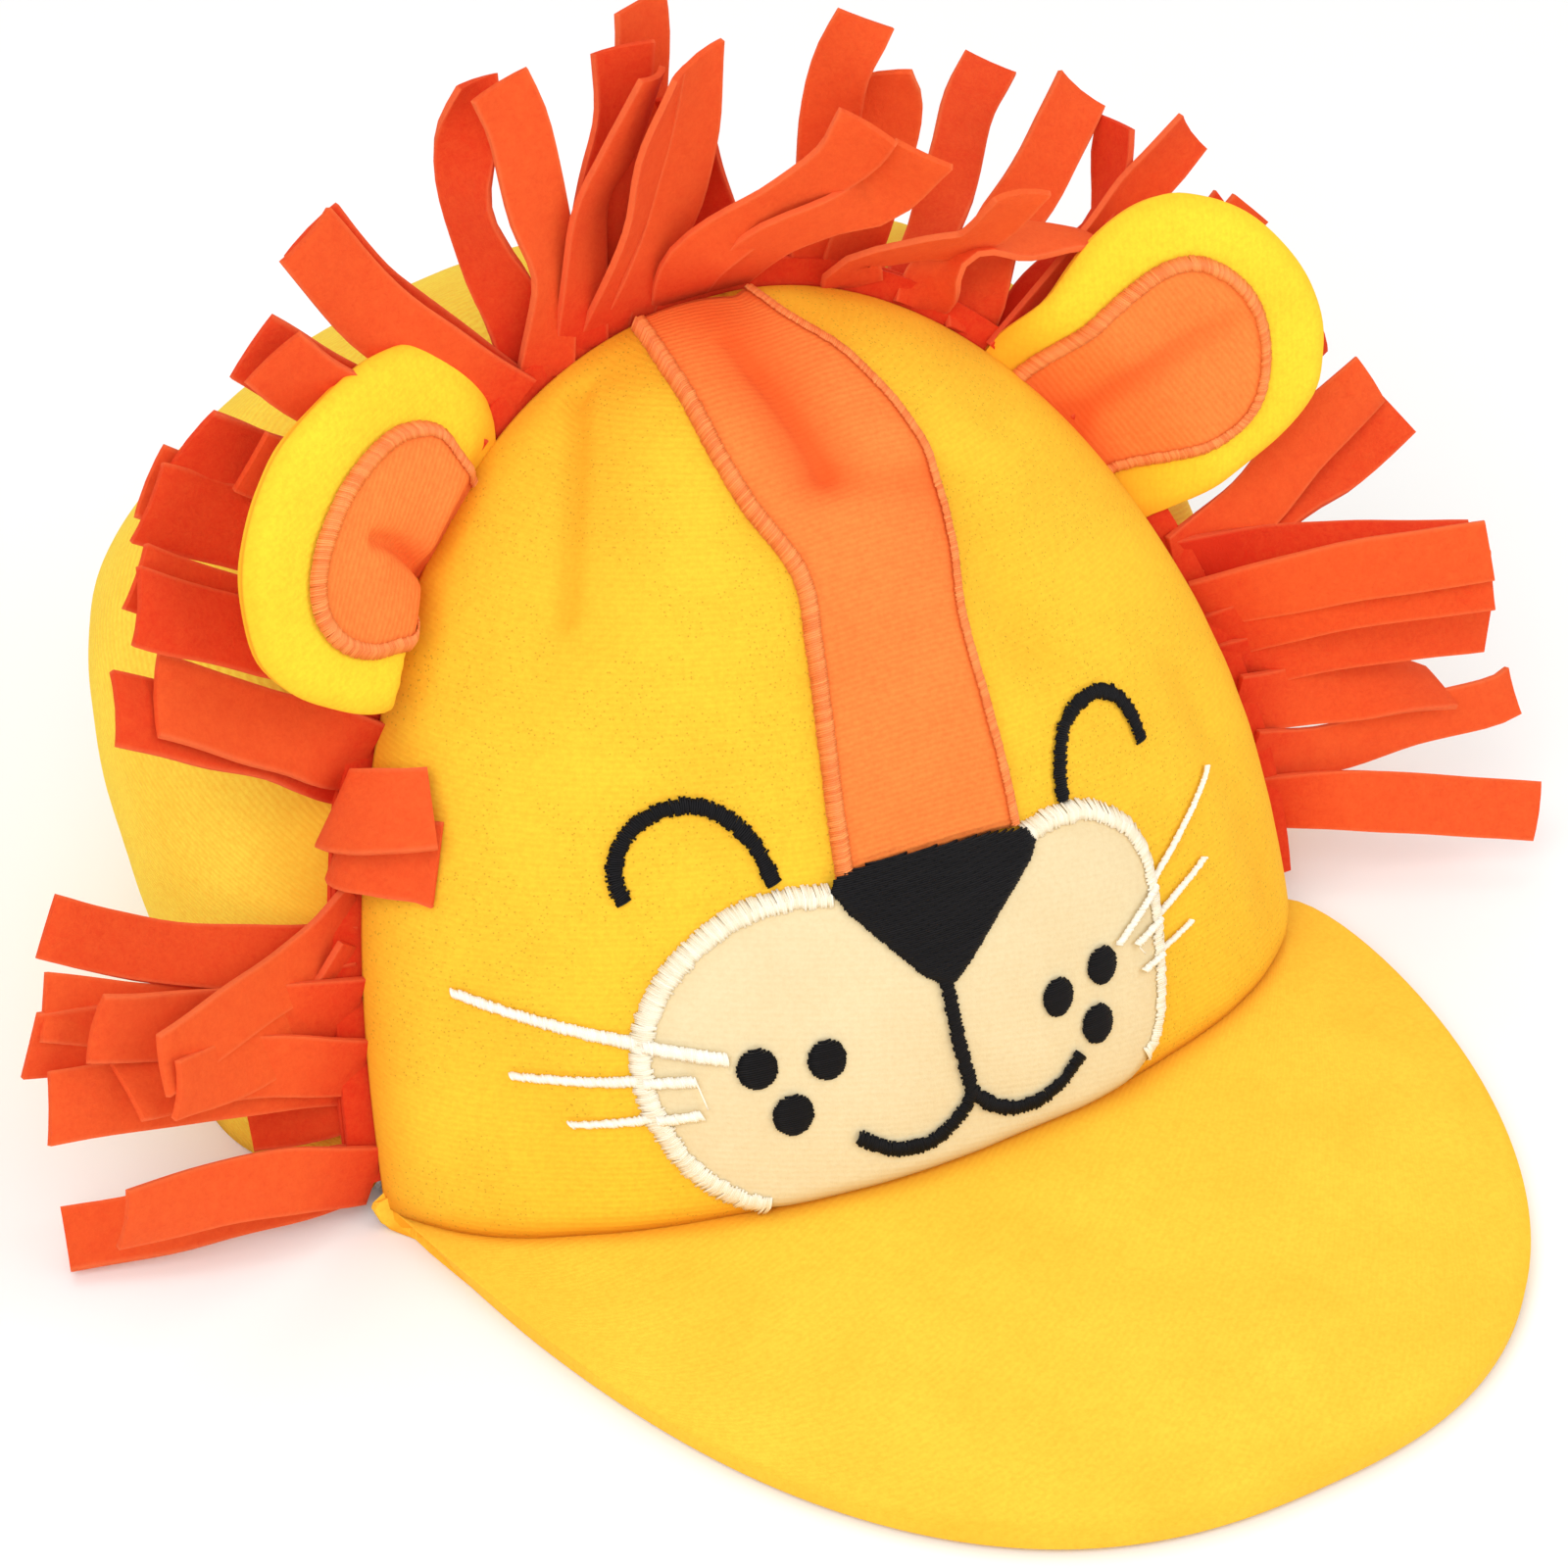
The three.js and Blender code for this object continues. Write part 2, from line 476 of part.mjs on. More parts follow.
// Ear: a padded disc whose root is trimmed to the crown, with its patch laid on the front
function earPlacement({ place, turn, tip, roll, sink }) {
  const frame = seamFrame(place);
  const upright = new THREE.Matrix4().makeBasis(frame.along, frame.back, frame.out);
  const lean = new THREE.Matrix4().makeRotationFromEuler(
    new THREE.Euler(radians(tip), radians(roll), radians(turn), 'ZXY'),
  );
  const seat = frame.point.clone().addScaledVector(frame.back, -EAR_SEAT)
    .addScaledVector(frame.out, -sink);
  return new THREE.Matrix4().makeTranslation(seat.x, seat.y, seat.z).multiply(upright).multiply(lean);
}

// Padded disc of the ear by angle round it and share from its middle to its edge; `face` is -1 for the
// front and 1 for the back, and `extra` makes it larger on every side
function earPoint(angle, share, face, extra) {
  const half = EAR_THICKNESS / 2 + extra;
  const plump = half * clampedPower(1 - share ** EAR_PLUMP, 0.5);
  return new THREE.Vector3(
    (EAR_WIDTH / 2 + extra) * share * Math.cos(angle),
    face * plump + EAR_DISH * (1 - share ** 2),
    EAR_MIDDLE + (EAR_HEIGHT - EAR_MIDDLE + extra) * share * Math.sin(angle),
  );
}

function earSolid(extra) {
  const layer = (face) => gridOf(4, 20, (row, column) => (
    earPoint(column * 2 * Math.PI, Math.cos(row * Math.PI / 2), face, extra)));
  return bodyBetween(layer(-1), layer(1), true);
}

// Inner ear: a patch on the front of the ear, cut along the same root
function earPatch() {
  const layer = (lift) => gridOf(2, 18, (row, column) => {
    const angle = column * 2 * Math.PI;
    const share = EAR_PATCH_SHARE * (1 - row);
    return earPoint(angle, share, -1, 0).add(new THREE.Vector3(0, -lift, -EAR_PATCH_DROP));
  });
  return bodyBetween(layer(PATCH_TOP), layer(GAP), true);
}

// Peak: a covered board, bowed across, tucked under the face panel's lower edge
function peakSolid() {
  const layer = (drop) => gridOf(PEAK_GRID.rows, PEAK_GRID.columns, (row, column) => {
    const turn = (column - 0.5) * Math.PI;
    const seam = facePoint(turn, 0, -PEAK_TUCK).setZ(plainFace(turn, 0).z - GAP - drop);
    const round = radians(THREE.MathUtils.lerp(-PEAK_ENDS.left, PEAK_ENDS.right, column));
    const edge = new THREE.Vector3(
      PEAK_HALF_WIDTH * Math.sign(round) * Math.abs(Math.sin(round)) ** (2 / PEAK_SQUARENESS),
      -PEAK_LENGTH * Math.cos(round) ** (2 / PEAK_SQUARENESS),
      FLOOR + PEAK_THICKNESS - drop,
    );
    edge.applyAxisAngle(new THREE.Vector3(0, 0, 1), radians(PEAK_TURN));
    edge.add(new THREE.Vector3(PEAK_MIDDLE.across, PEAK_MIDDLE.back, PEAK_CAMBER * Math.cos(round) ** 2));
    edge.lerp(seam, PEAK_CORNER * Math.abs(2 * column - 1) ** 12);
    return seam.lerp(edge, 1 - row);
  });
  return bodyBetween(layer(0), layer(PEAK_THICKNESS));
}

// Lining band: a white strip just inside the rim, all the way round
function liningBand() {
  const heights = [FLOOR + 0.5, LINING_TOP / 2, LINING_TOP];
  const shares = Array.from({ length: LINING_STEPS + 1 }, (_, index) => index / LINING_STEPS);
  const ring = [
    ...shares.map((share) => (up, inset) => facePoint((share - 0.5) * Math.PI, up, -inset)),
    ...shares.map((share) => (up, inset) => backLayerPoint(share, up, -inset)),
  ];
  const layer = (inset) => heights.map((height) => [...ring, ring[0]].map(
    (place) => place(Math.max(height, 0) / CROWN_HEIGHT, inset).setZ(height),
  ));
  return bodyBetween(layer(WALL + 2 * GAP), layer(WALL + 2 * GAP + LINING_THICKNESS), true);
}

// A piece laid on the face inside a closed outline, as rings about its middle
function patchOnFace({ middle, outline }, rings, columns, bottom, top) {
  const corners = outline.map(({ across, up }) => new THREE.Vector3(across, up, 0));
  const curve = new THREE.CatmullRomCurve3(corners, true);
  const edge = curve.getSpacedPoints(columns);
  const layer = (lift) => gridOf(rings, columns, (row, column) => {
    const spot = edge[Math.round(column * columns)];
    return faceAtHeight({
      across: THREE.MathUtils.lerp(spot.x, middle.across, row),
      up: THREE.MathUtils.lerp(spot.y, middle.up, row),
    }, lift);
  });
  const turned = THREE.ShapeUtils.area(edge) > 0;
  return turned ? bodyBetween(layer(top), layer(bottom), true) : bodyBetween(layer(bottom), layer(top), true);
}

// An embroidered line laid on the face along a curve of places, at a lift of its own at each place
function lineOnFace(places, width, steps, liftAt) {
  const curve = new THREE.CatmullRomCurve3(places.map(({ across, up }) => new THREE.Vector3(across, up, 0)));
  const layer = (extra) => gridOf(steps, 1, (row, column) => {
    const spot = curve.getPointAt(row);
    const along = curve.getTangentAt(row);
    const side = (column - 0.5) * width;
    const place = { across: spot.x - along.y * side, up: spot.y + along.x * side };
    return faceAtHeight(place, liftAt(place) + extra);
  });
  return bodyBetween(layer(0), layer(THREAD_RAISE));
}

// Forehead stripe: from the nose up to the mane seam, following its table of borders
function foreheadStripe() {
  const border = (side) => new THREE.CatmullRomCurve3(
    STRIPE_ROWS.map((row) => new THREE.Vector3(row.rise, row[side], 0)),
  );
  const left = border('left');
  const right = border('right');
  const layer = (lift) => gridOf(20, 5, (row, column) => {
    const from = left.getPoint(row);
    const to = right.getPoint(row);
    return faceAtRise(THREE.MathUtils.lerp(from.y, to.y, column), from.x, lift);
  });
  return bodyBetween(layer(PATCH_TOP), layer(GAP));
}

// Whether a place lies on the muzzle or close to it, as a share from 0 to 1
function onMuzzle({ across, up }) {
  const { middle, outline } = MUZZLE;
  const angle = Math.atan2(up - middle.up, across - middle.across);
  const nearest = outline.map((spot) => ({
    reach: Math.hypot(spot.across - middle.across, spot.up - middle.up),
    away: Math.abs(Math.atan2(
      Math.sin(Math.atan2(spot.up - middle.up, spot.across - middle.across) - angle),
      Math.cos(Math.atan2(spot.up - middle.up, spot.across - middle.across) - angle),
    )),
  })).sort((a, b) => a.away - b.away);
  const [first, second] = nearest;
  const reach = (first.reach * second.away + second.reach * first.away) / (first.away + second.away);
  const distance = Math.hypot(across - middle.across, up - middle.up);
  return 1 - THREE.MathUtils.smoothstep(distance, reach + 1.5, reach + 5);
}

// A whisker starts on the muzzle and ends on the face, so it steps down between them
const whiskerLift = (place) => THREE.MathUtils.lerp(GAP, SECOND_LAYER, onMuzzle(place));

addPiece('front_panel', facePanel(0, -WALL), COLOURS.yellow);
addPiece('back_panel', backPanel(0, -WALL), COLOURS.yellow);
addPiece('peak', peakSolid(), COLOURS.yellow);
addPiece('lining_band', liningBand(), COLOURS.white);
addPiece('forehead_stripe', foreheadStripe(), COLOURS.orange);
addPiece('muzzle_patch', patchOnFace(MUZZLE, 3, 32, GAP, PATCH_TOP), COLOURS.cream);
addPiece('nose_patch', patchOnFace(NOSE, 3, 24, SECOND_LAYER, SECOND_LAYER + THREAD_RAISE), COLOURS.thread);

EYES.forEach(({ name, middle, foot, radius, height }) => {
  const places = [0, 0.25, 0.5, 0.75, 1].map((share) => ({
    across: middle - radius * Math.cos(share * Math.PI),
    up: foot + height * Math.sin(share * Math.PI) ** 0.9,
  }));
  addPiece(name, lineOnFace(places, EYE_LINE, 14, () => GAP), COLOURS.thread);
});

const mouthLine = (places, steps) => solidOf(lineOnFace(places, MOUTH_LINE, steps, () => SECOND_LAYER));
const mouth = mouthLine([MOUTH.top, MOUTH.fork], 4)
  .add(mouthLine([MOUTH.fork, ...MOUTH.leftArc], 9))
  .add(mouthLine([MOUTH.fork, ...MOUTH.rightArc], 9));
addPiece('mouth', geometryOf(mouth), COLOURS.thread);

SPOTS.forEach(({ name, across, up, radius }) => {
  const outline = Array.from({ length: 8 }, (_, index) => ({
    across: across + radius * Math.cos(index * Math.PI / 4),
    up: up + radius * Math.sin(index * Math.PI / 4),
  }));
  const spot = { middle: { across, up }, outline };
  addPiece(name, patchOnFace(spot, 1, 10, SECOND_LAYER, SECOND_LAYER + THREAD_RAISE), COLOURS.thread);
});

WHISKERS.forEach(({ name, from, to }) => {
  addPiece(name, lineOnFace([from, to], WHISKER_LINE, 9, whiskerLift), COLOURS.white);
});

// What is trimmed to the crown keeps its largest body, so that no loose crumb is left
const clearance = crownClearance(GAP, CLEARANCE_DEPTH);
function trimmed(solid) {
  const bodies = solid.subtract(clearance).simplify(SMALLEST_EDGE).decompose();
  return bodies.sort((a, b) => b.volume() - a.volume())[0];
}

let mane = maneHeader();
STRIPS.forEach((strip) => {
  mane = mane.add(feltStrip(strip));
});

EARS.forEach((ear) => {
  const placed = earPlacement(ear);
  const body = trimmed(solidOf(earSolid(0).applyMatrix4(placed)));
  addPiece(`ear_${ear.name}`, geometryOf(body), COLOURS.yellow);
  const patch = trimmed(solidOf(earPatch().applyMatrix4(placed)));
  addPiece(`ear_patch_${ear.name}`, geometryOf(patch), COLOURS.orange);
  mane = mane.subtract(solidOf(earSolid(GAP).applyMatrix4(placed)));
});
addPiece('mane', geometryOf(trimmed(mane)), COLOURS.felt);

// The cap stands on the floor with the middle of its bounding box over the origin
const bounds = new THREE.Box3().setFromObject(cap);
const centre = bounds.getCenter(new THREE.Vector3());
cap.children.forEach((piece) => piece.geometry.translate(-centre.x, -centre.y, -bounds.min.z));

export default cap;
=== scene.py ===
# %% [markdown]
# # A child's felt cap made up as a lion's face
#
# The cap is sewn from brushed yellow knit cloth, with a mane of cut felt strips caught in the seam between
# the face and the back of the crown. The face is appliqué and satin stitch, and two padded ears sit on the
# seam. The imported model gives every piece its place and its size, and this script dresses it. All lengths
# below are in millimetres until a point is placed, which turns them into Blender's metres.

import math
import random

import bmesh
import bpy
from mathutils import Matrix, Vector, noise
from mathutils.bvhtree import BVHTree
from mathutils.kdtree import KDTree


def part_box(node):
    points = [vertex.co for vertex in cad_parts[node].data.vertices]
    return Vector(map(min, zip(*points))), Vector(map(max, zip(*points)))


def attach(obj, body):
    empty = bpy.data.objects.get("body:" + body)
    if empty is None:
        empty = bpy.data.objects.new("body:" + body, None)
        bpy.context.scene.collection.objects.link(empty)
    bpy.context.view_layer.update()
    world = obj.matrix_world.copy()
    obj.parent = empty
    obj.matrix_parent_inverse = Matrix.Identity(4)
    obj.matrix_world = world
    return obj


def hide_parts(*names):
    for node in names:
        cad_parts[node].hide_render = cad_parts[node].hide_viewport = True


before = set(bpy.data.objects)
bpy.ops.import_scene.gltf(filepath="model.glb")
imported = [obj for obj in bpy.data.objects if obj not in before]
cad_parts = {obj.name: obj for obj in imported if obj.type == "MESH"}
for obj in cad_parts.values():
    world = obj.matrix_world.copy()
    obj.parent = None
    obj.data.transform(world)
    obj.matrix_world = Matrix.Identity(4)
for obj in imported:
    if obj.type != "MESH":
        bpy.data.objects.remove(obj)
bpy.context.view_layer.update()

# %% [markdown]
# ## Where the pattern lies
#
# The cap was drawn with its origin at the middle of the mane seam's feet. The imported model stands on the
# floor with its bounding box centred, so the drawing is shifted by what the face panel's own box tells.

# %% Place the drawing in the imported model
MM = 0.001
RIM_HALF_WIDTH = 82
FACE_REACH = 44  # the face's foremost point is this far ahead of the drawing's origin
FLOOR = -3  # and the floor this far below it
face_low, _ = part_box("front_panel")
SHIFT = Vector((face_low.x / MM + RIM_HALF_WIDTH, face_low.y / MM + FACE_REACH, -FLOOR))


def placed(point):
    """A drawing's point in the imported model, in metres."""
    return (Vector(point) + SHIFT) * MM


def new_object(name, data):
    """An object in the scene that shows a mesh, a camera or a light."""
    made = bpy.data.objects.new(name, data)
    bpy.context.scene.collection.objects.link(made)
    return made


def mesh_of(name, bm):
    """The mesh that a finished bmesh holds."""
    mesh = bpy.data.meshes.new(name)
    bm.to_mesh(mesh)
    bm.free()
    return mesh


print("drawing shifted by", [round(part, 2) for part in SHIFT], "mm")

# %% [markdown]
# ## Camera
#
# The photograph looks down on the cap from its right cheek: 31 degrees round from the front and 36 degrees
# up, with the camera tipped by two degrees. A long lens from 0.7 m matches how little the lines converge.

# %% Camera
VIEW = {"around": -31.4, "up": 35.7, "roll": 2.3, "distance": 700, "lens": 100.37}
AIM = Vector((-6.1, 36.4))  # the picture's middle, right and up from the drawing's origin


def camera_axes(around, up, roll):
    """The camera's right, up and backward directions."""
    around, up = math.radians(around), math.radians(up)
    back = Vector((math.sin(around) * math.cos(up), -math.cos(around) * math.cos(up), math.sin(up)))
    right = Vector((math.cos(around), math.sin(around), 0))
    tip = Matrix.Rotation(math.radians(roll), 3, back)
    return tip @ right, tip @ back.cross(right), back


right, upward, back = camera_axes(VIEW["around"], VIEW["up"], VIEW["roll"])
lens = bpy.data.cameras.new("studio_camera")
lens.lens = VIEW["lens"]
camera = new_object("studio_camera", lens)
turned = Matrix((right, upward, back)).transposed().to_4x4()
stand = placed(right * AIM.x + upward * AIM.y + back * VIEW["distance"])
camera.matrix_world = Matrix.Translation(stand) @ turned
bpy.context.scene.camera = camera
bpy.context.scene.view_settings.view_transform = "Standard"  # colours as they were picked
print("camera at", [round(part, 3) for part in stand])

# %% [markdown]
# ## Building blocks for materials
#
# Colours are picked in sRGB, as a screen shows them, and Blender's shaders work in linear light, so one
# function turns them. A second small function adds a node with its settings and its links, which keeps
# each material short enough to read as a recipe.


# %% Colour and node helpers
def linear(hex_colour):
    """An sRGB hex colour as linear red, green, blue and alpha."""
    parts = [int(hex_colour[i:i + 2], 16) / 255 for i in (1, 3, 5)]
    return [c / 12.92 if c <= 0.04045 else ((c + 0.055) / 1.055) ** 2.4 for c in parts] + [1]


def add_node(tree, kind, inputs=None, **settings):
    """One node: settings are its properties, and inputs its values or what feeds them, which is a socket or
    a node, and a node stands for its first output in use."""
    node = tree.nodes.new("ShaderNode" + kind)
    for name, value in settings.items():
        setattr(node, name, value)
    for key, value in (inputs or {}).items():
        if isinstance(value, bpy.types.Node):
            value = next(socket for socket in value.outputs if socket.enabled)
        if isinstance(value, bpy.types.NodeSocket):
            tree.links.new(value, node.inputs[key])
        else:
            node.inputs[key].default_value = value
    return node


def new_material(name, roughness, sheen=0.0, sheen_colour="#ffffff", specular=0.3):
    """A material with its shader, ready for a colour and a bump."""
    material = bpy.data.materials.new(name)
    material.use_nodes = True
    shader = material.node_tree.nodes["Principled BSDF"]
    shader.inputs["Roughness"].default_value = roughness
    shader.inputs["Specular IOR Level"].default_value = specular
    shader.inputs["Sheen Weight"].default_value = sheen
    shader.inputs["Sheen Roughness"].default_value = 0.5
    shader.inputs["Sheen Tint"].default_value = linear(sheen_colour)
    return material, material.node_tree, shader


# %% [markdown]
# ## Brushed knit
#
# Crown, peak and ears are a warp-knitted polyester whose face has been brushed into a short nap. The eye
# sees fine straight ribs under a soft haze, a few darker specks where the nap has balled, and a deeper,
# more orange yellow in folds and along seams, where light bounces from fibre to fibre. That deeper yellow is
# painted shade: each piece's shade attribute mixes the colour towards the deeper one. The ribs follow the
# cloth, so they read the piece's UV map, which holds millimetres along the cloth. The nap has no direction
# and reads Object coordinates. Its single fibres are too fine to show, so it is drawn as coarse as it needs
# to be seen, in grains of about a millimetre.


# %% Brushed knit material
WAVE_SCALE = 0.31416  # the Wave texture's scale for one band in each unit of its vector
RIB_PITCH = 0.9


def brushed_knit(name, colour, deep_colour, speck_colour, rib_turn, ribs_show, specks_show):
    """Brushed knit cloth; rib_turn is in degrees."""
    material, tree, shader = new_material(name, roughness=0.92, sheen=0.25, sheen_colour=colour)
    cloth = add_node(tree, "UVMap", uv_map="cloth")
    turned_cloth = add_node(tree, "Mapping", {"Vector": cloth, "Rotation": (0, 0, math.radians(rib_turn))})
    ribs = add_node(tree, "TexWave", {
        "Vector": turned_cloth, "Scale": WAVE_SCALE / RIB_PITCH, "Distortion": 2.2, "Detail": 3.0,
        "Detail Scale": 1.8}, bands_direction="Y")
    place = add_node(tree, "TexCoord").outputs["Object"]
    nap = add_node(tree, "TexNoise", {"Vector": place, "Scale": 1.1 / MM, "Detail": 4.0, "Roughness": 0.7})
    haze = add_node(tree, "TexNoise", {"Vector": place, "Scale": 0.06 / MM, "Detail": 3.0})
    balls = add_node(tree, "TexVoronoi", {"Vector": place, "Scale": 1.3 / MM})
    shade = add_node(tree, "Attribute", attribute_name="shade")

    haze_share = add_node(tree, "MapRange", {
        "Value": haze, "From Min": 0.35, "From Max": 0.7, "To Max": 0.22})
    rib_share = add_node(tree, "MapRange", {
        "Value": ribs.outputs["Fac"], "From Min": 0.1, "From Max": 0.9, "To Min": ribs_show, "To Max": 0.0})
    nap_share = add_node(tree, "MapRange", {"Value": nap, "From Min": 0.4, "From Max": 0.65, "To Max": 0.26})
    grain = add_node(tree, "Math", {0: rib_share, 1: nap_share}, operation="ADD")
    speck_share = add_node(tree, "MapRange", {
        "Value": balls, "From Min": 0.12, "From Max": 0.26, "To Min": specks_show, "To Max": 0.0})
    speck_choice = add_node(tree, "Math", {0: haze, 1: 0.45}, operation="GREATER_THAN")
    specks = add_node(tree, "Math", {0: speck_share, 1: speck_choice}, operation="MULTIPLY")
    coloured = linear(colour)
    # Painted shade: the shade attribute deepens the colour in folds and along seams; haze, grain and specks
    # are the cloth's own
    for share, tint in ((shade.outputs["Fac"], deep_colour), (haze_share, deep_colour), (grain, deep_colour),
                        (specks, speck_colour)):
        coloured = add_node(
            tree, "Mix", {"Factor": share, "A": coloured, "B": linear(tint)}, data_type="RGBA")
    tree.links.new(coloured.outputs["Result"], shader.inputs["Base Color"])

    rib_bump = add_node(tree, "Bump", {
        "Height": ribs.outputs["Fac"], "Strength": 2.2 * ribs_show, "Distance": 0.25 * MM})
    nap_bump = add_node(tree, "Bump", {
        "Height": nap, "Strength": 0.45, "Distance": 0.3 * MM, "Normal": rib_bump})
    tree.links.new(nap_bump.outputs["Normal"], shader.inputs["Normal"])
    return material


KNIT_SHADES = {  # colour, deeper colour for painted shade in folds and seams and for the haze and grain, colour of specks, turn of the ribs, how much ribs and specks show
    "yellow_face": ("#fcca32", "#e6981a", "#a07a16", 4, 0.09, 0.5),
    "yellow_back": ("#fbdb46", "#ee9c18", "#b98a12", 28, 0.17, 0),
    "yellow_peak": ("#fed23e", "#f5a21a", "#b98a12", -32, 0.05, 0),
    "yellow_ear": ("#ffdc32", "#f7a41a", "#d9a020", 35, 0.05, 0),
    "orange": ("#fb8d40", "#e85a1e", "#e0601c", 0, 0.14, 0),
    "cream": ("#ebdab0", "#dcc08e", "#d9bd8c", 12, 0.05, 0),
}
knit = {shade: brushed_knit("brushed_knit_" + shade, *recipe) for shade, recipe in KNIT_SHADES.items()}
print("brushed knit in", len(knit), "shades and rib directions")

# %% [markdown]
# ## Felt, thread and lining
#
# The mane is needle-punched polyester felt: a mat of fibres with no weave, dull, a little mottled, with
# hairs that stand off its faces. One fibre is too fine to show, so tangles of them are drawn, as coarse as
# they need to be. Embroidery thread is glossy trilobal polyester, so each thread catches a
# line of light, and the threads themselves are modelled, so the material only varies their tone. The
# lining is a plain white cotton tape.


# %% Felt material
def pressed_felt(name, colour, deep_colour, edge_highlight_colour):
    """Needle-punched felt with a mottled, hairy face, painted shade from the shade attribute and a painted
    highlight along its cut edges.
    """
    material, tree, shader = new_material(name, roughness=0.95, sheen=0.3, sheen_colour=colour)
    place = add_node(tree, "TexCoord").outputs["Object"]
    mottle = add_node(tree, "TexNoise", {
        "Vector": place, "Scale": 0.45 / MM, "Detail": 6.0, "Roughness": 0.75})
    warp = add_node(tree, "VectorMath", {
        0: mottle.outputs["Color"], 1: (3 * MM, 3 * MM, 3 * MM), 2: place}, operation="MULTIPLY_ADD")
    fibres = add_node(tree, "TexNoise", {
        "Vector": warp, "Scale": 1.6 / MM, "Detail": 5.0, "Roughness": 0.75})
    mottled_share = add_node(tree, "MapRange", {
        "Value": mottle, "From Min": 0.35, "From Max": 0.7, "To Max": 0.2})
    fibre_share = add_node(tree, "MapRange", {
        "Value": fibres, "From Min": 0.4, "From Max": 0.65, "To Max": 0.22})
    mottled = add_node(tree, "Math", {0: mottled_share, 1: fibre_share}, operation="ADD")
    # Painted shade: the shade attribute deepens the felt's colour, added to its own mottling
    shade = add_node(tree, "Attribute", attribute_name="shade").outputs["Fac"]
    deep_share = add_node(tree, "Math", {0: mottled, 1: shade}, operation="ADD", use_clamp=True)
    # Painted highlight: the rim attribute lightens the colour along the cut edges
    rim = add_node(tree, "Attribute", attribute_name="rim").outputs["Fac"]
    edge_highlight_share = add_node(tree, "MapRange", {"Value": rim, "From Min": 0.88, "From Max": 1.0, "To Max": 0.3})
    coloured = linear(colour)
    for share, tint in ((deep_share, deep_colour), (edge_highlight_share, edge_highlight_colour)):
        coloured = add_node(
            tree, "Mix", {"Factor": share, "A": coloured, "B": linear(tint)}, data_type="RGBA")
    tree.links.new(coloured.outputs["Result"], shader.inputs["Base Color"])
    hair_bump = add_node(tree, "Bump", {"Height": fibres, "Strength": 0.7, "Distance": 0.35 * MM})
    wave_bump = add_node(tree, "Bump", {
        "Height": mottle, "Strength": 0.35, "Distance": 0.5 * MM, "Normal": hair_bump})
    tree.links.new(wave_bump.outputs["Normal"], shader.inputs["Normal"])
    return material


mane_felt = pressed_felt("pressed_felt_orange_red", "#ff692c", "#e8300c", "#ff8f58")


# %% Thread and lining materials
def satin_thread(name, colour, deep_colour, roughness=0.45, specular=0.4):
    """Glossy embroidery thread whose tone changes a little from one thread to the next."""
    material, tree, shader = new_material(name, roughness=roughness, specular=specular)
    tone = add_node(tree, "Attribute", attribute_name="shade").outputs["Fac"]
    coloured = add_node(tree, "Mix", {
        "Factor": tone, "A": linear(colour), "B": linear(deep_colour)}, data_type="RGBA")
    tree.links.new(coloured.outputs["Result"], shader.inputs["Base Color"])
    place = add_node(tree, "TexCoord").outputs["Object"]
    twist = add_node(tree, "TexNoise", {"Vector": place, "Scale": 6 / MM, "Detail": 2.0})
    twist_bump = add_node(tree, "Bump", {"Height": twist, "Strength": 0.3, "Distance": 0.08 * MM})
    tree.links.new(twist_bump.outputs["Normal"], shader.inputs["Normal"])
    return material


black_thread = satin_thread("polyester_thread_black", "#121114", "#0c0b0e", roughness=0.6, specular=0.2)
white_thread = satin_thread("polyester_thread_white", "#fffbf0", "#f6eedd")
cream_thread = satin_thread("polyester_thread_cream", "#fbf4e2", "#f0e4c8")
orange_thread = satin_thread("polyester_thread_orange", "#fa9a52", "#ea7a38")


def cotton_tape(name, colour, gap_colour):
    """Plain-woven cotton: 0.5 mm threads over and under each other."""
    material, tree, shader = new_material(name, roughness=0.85, sheen=0.1)
    cloth = add_node(tree, "UVMap", uv_map="cloth")
    weave = add_node(tree, "TexChecker", {
        "Vector": cloth, "Scale": 2.0, "Color1": linear(colour), "Color2": linear(gap_colour)})
    tree.links.new(weave.outputs["Color"], shader.inputs["Base Color"])
    weave_bump = add_node(tree, "Bump", {
        "Height": weave.outputs["Fac"], "Strength": 0.3, "Distance": 0.15 * MM})
    tree.links.new(weave_bump.outputs["Normal"], shader.inputs["Normal"])
    return material


lining_cotton = cotton_tape("woven_cotton_white", "#fbfaf6", "#e9e6df")
print("felt, four threads and a lining tape")

# %% [markdown]
# ## The crown's surface
#
# The face bulges ahead of a plane seam and the back swells behind it. Both are drawn as functions: give a
# place on the cloth and get a point. The seam leans back as it rises, and its shoulders are a little squarer
# on one side than on the other, because the soft cap lies slumped. The same functions then carry whatever
# is sewn to the face, so the appliqué follows every dent.

# %% Seam and face functions
CROWN_HEIGHT = 112
SEAM = {"lean": 38, "curve": 1.5, "foot_forward": 9, "left_shoulder": 2.25, "right_shoulder": 1.98}
FACE = {"depth": 35, "profile": 3.3, "section": 1.9, "rim_raise": 3}
BACK = {"rim_spread": 1.16, "spread": 1.3, "rim_depth": 58, "depth": 80, "full_at": 0.6, "profile": 1.75}
WALL = 2
GAP = 0.35
HEADER = 3.2  # the felt caught in the seam, front to back
RIGHT_ANGLE = math.pi / 2


def smooth(value, start, end):
    """0 before start, 1 after end, and an easy curve between them."""
    share = min(max((value - start) / (end - start), 0), 1)
    return share * share * (3 - 2 * share)


def mix(start, end, share):
    return start + (end - start) * share


def up_of(angle):
    """Share of the crown's height for an angle from the rim (0) to the top (a right angle)."""
    return math.sin(angle) ** 0.95


def seam_at(up, side):
    """The mane seam's half width and how far back it lies, at a share of the crown's height."""
    shoulder = SEAM["left_shoulder"] if side < 0 else SEAM["right_shoulder"]
    half_width = RIM_HALF_WIDTH * max(1 - up ** shoulder, 0) ** (1 / shoulder)
    return half_width, SEAM["lean"] * up ** SEAM["curve"] - SEAM["foot_forward"] * (1 - up) ** 2


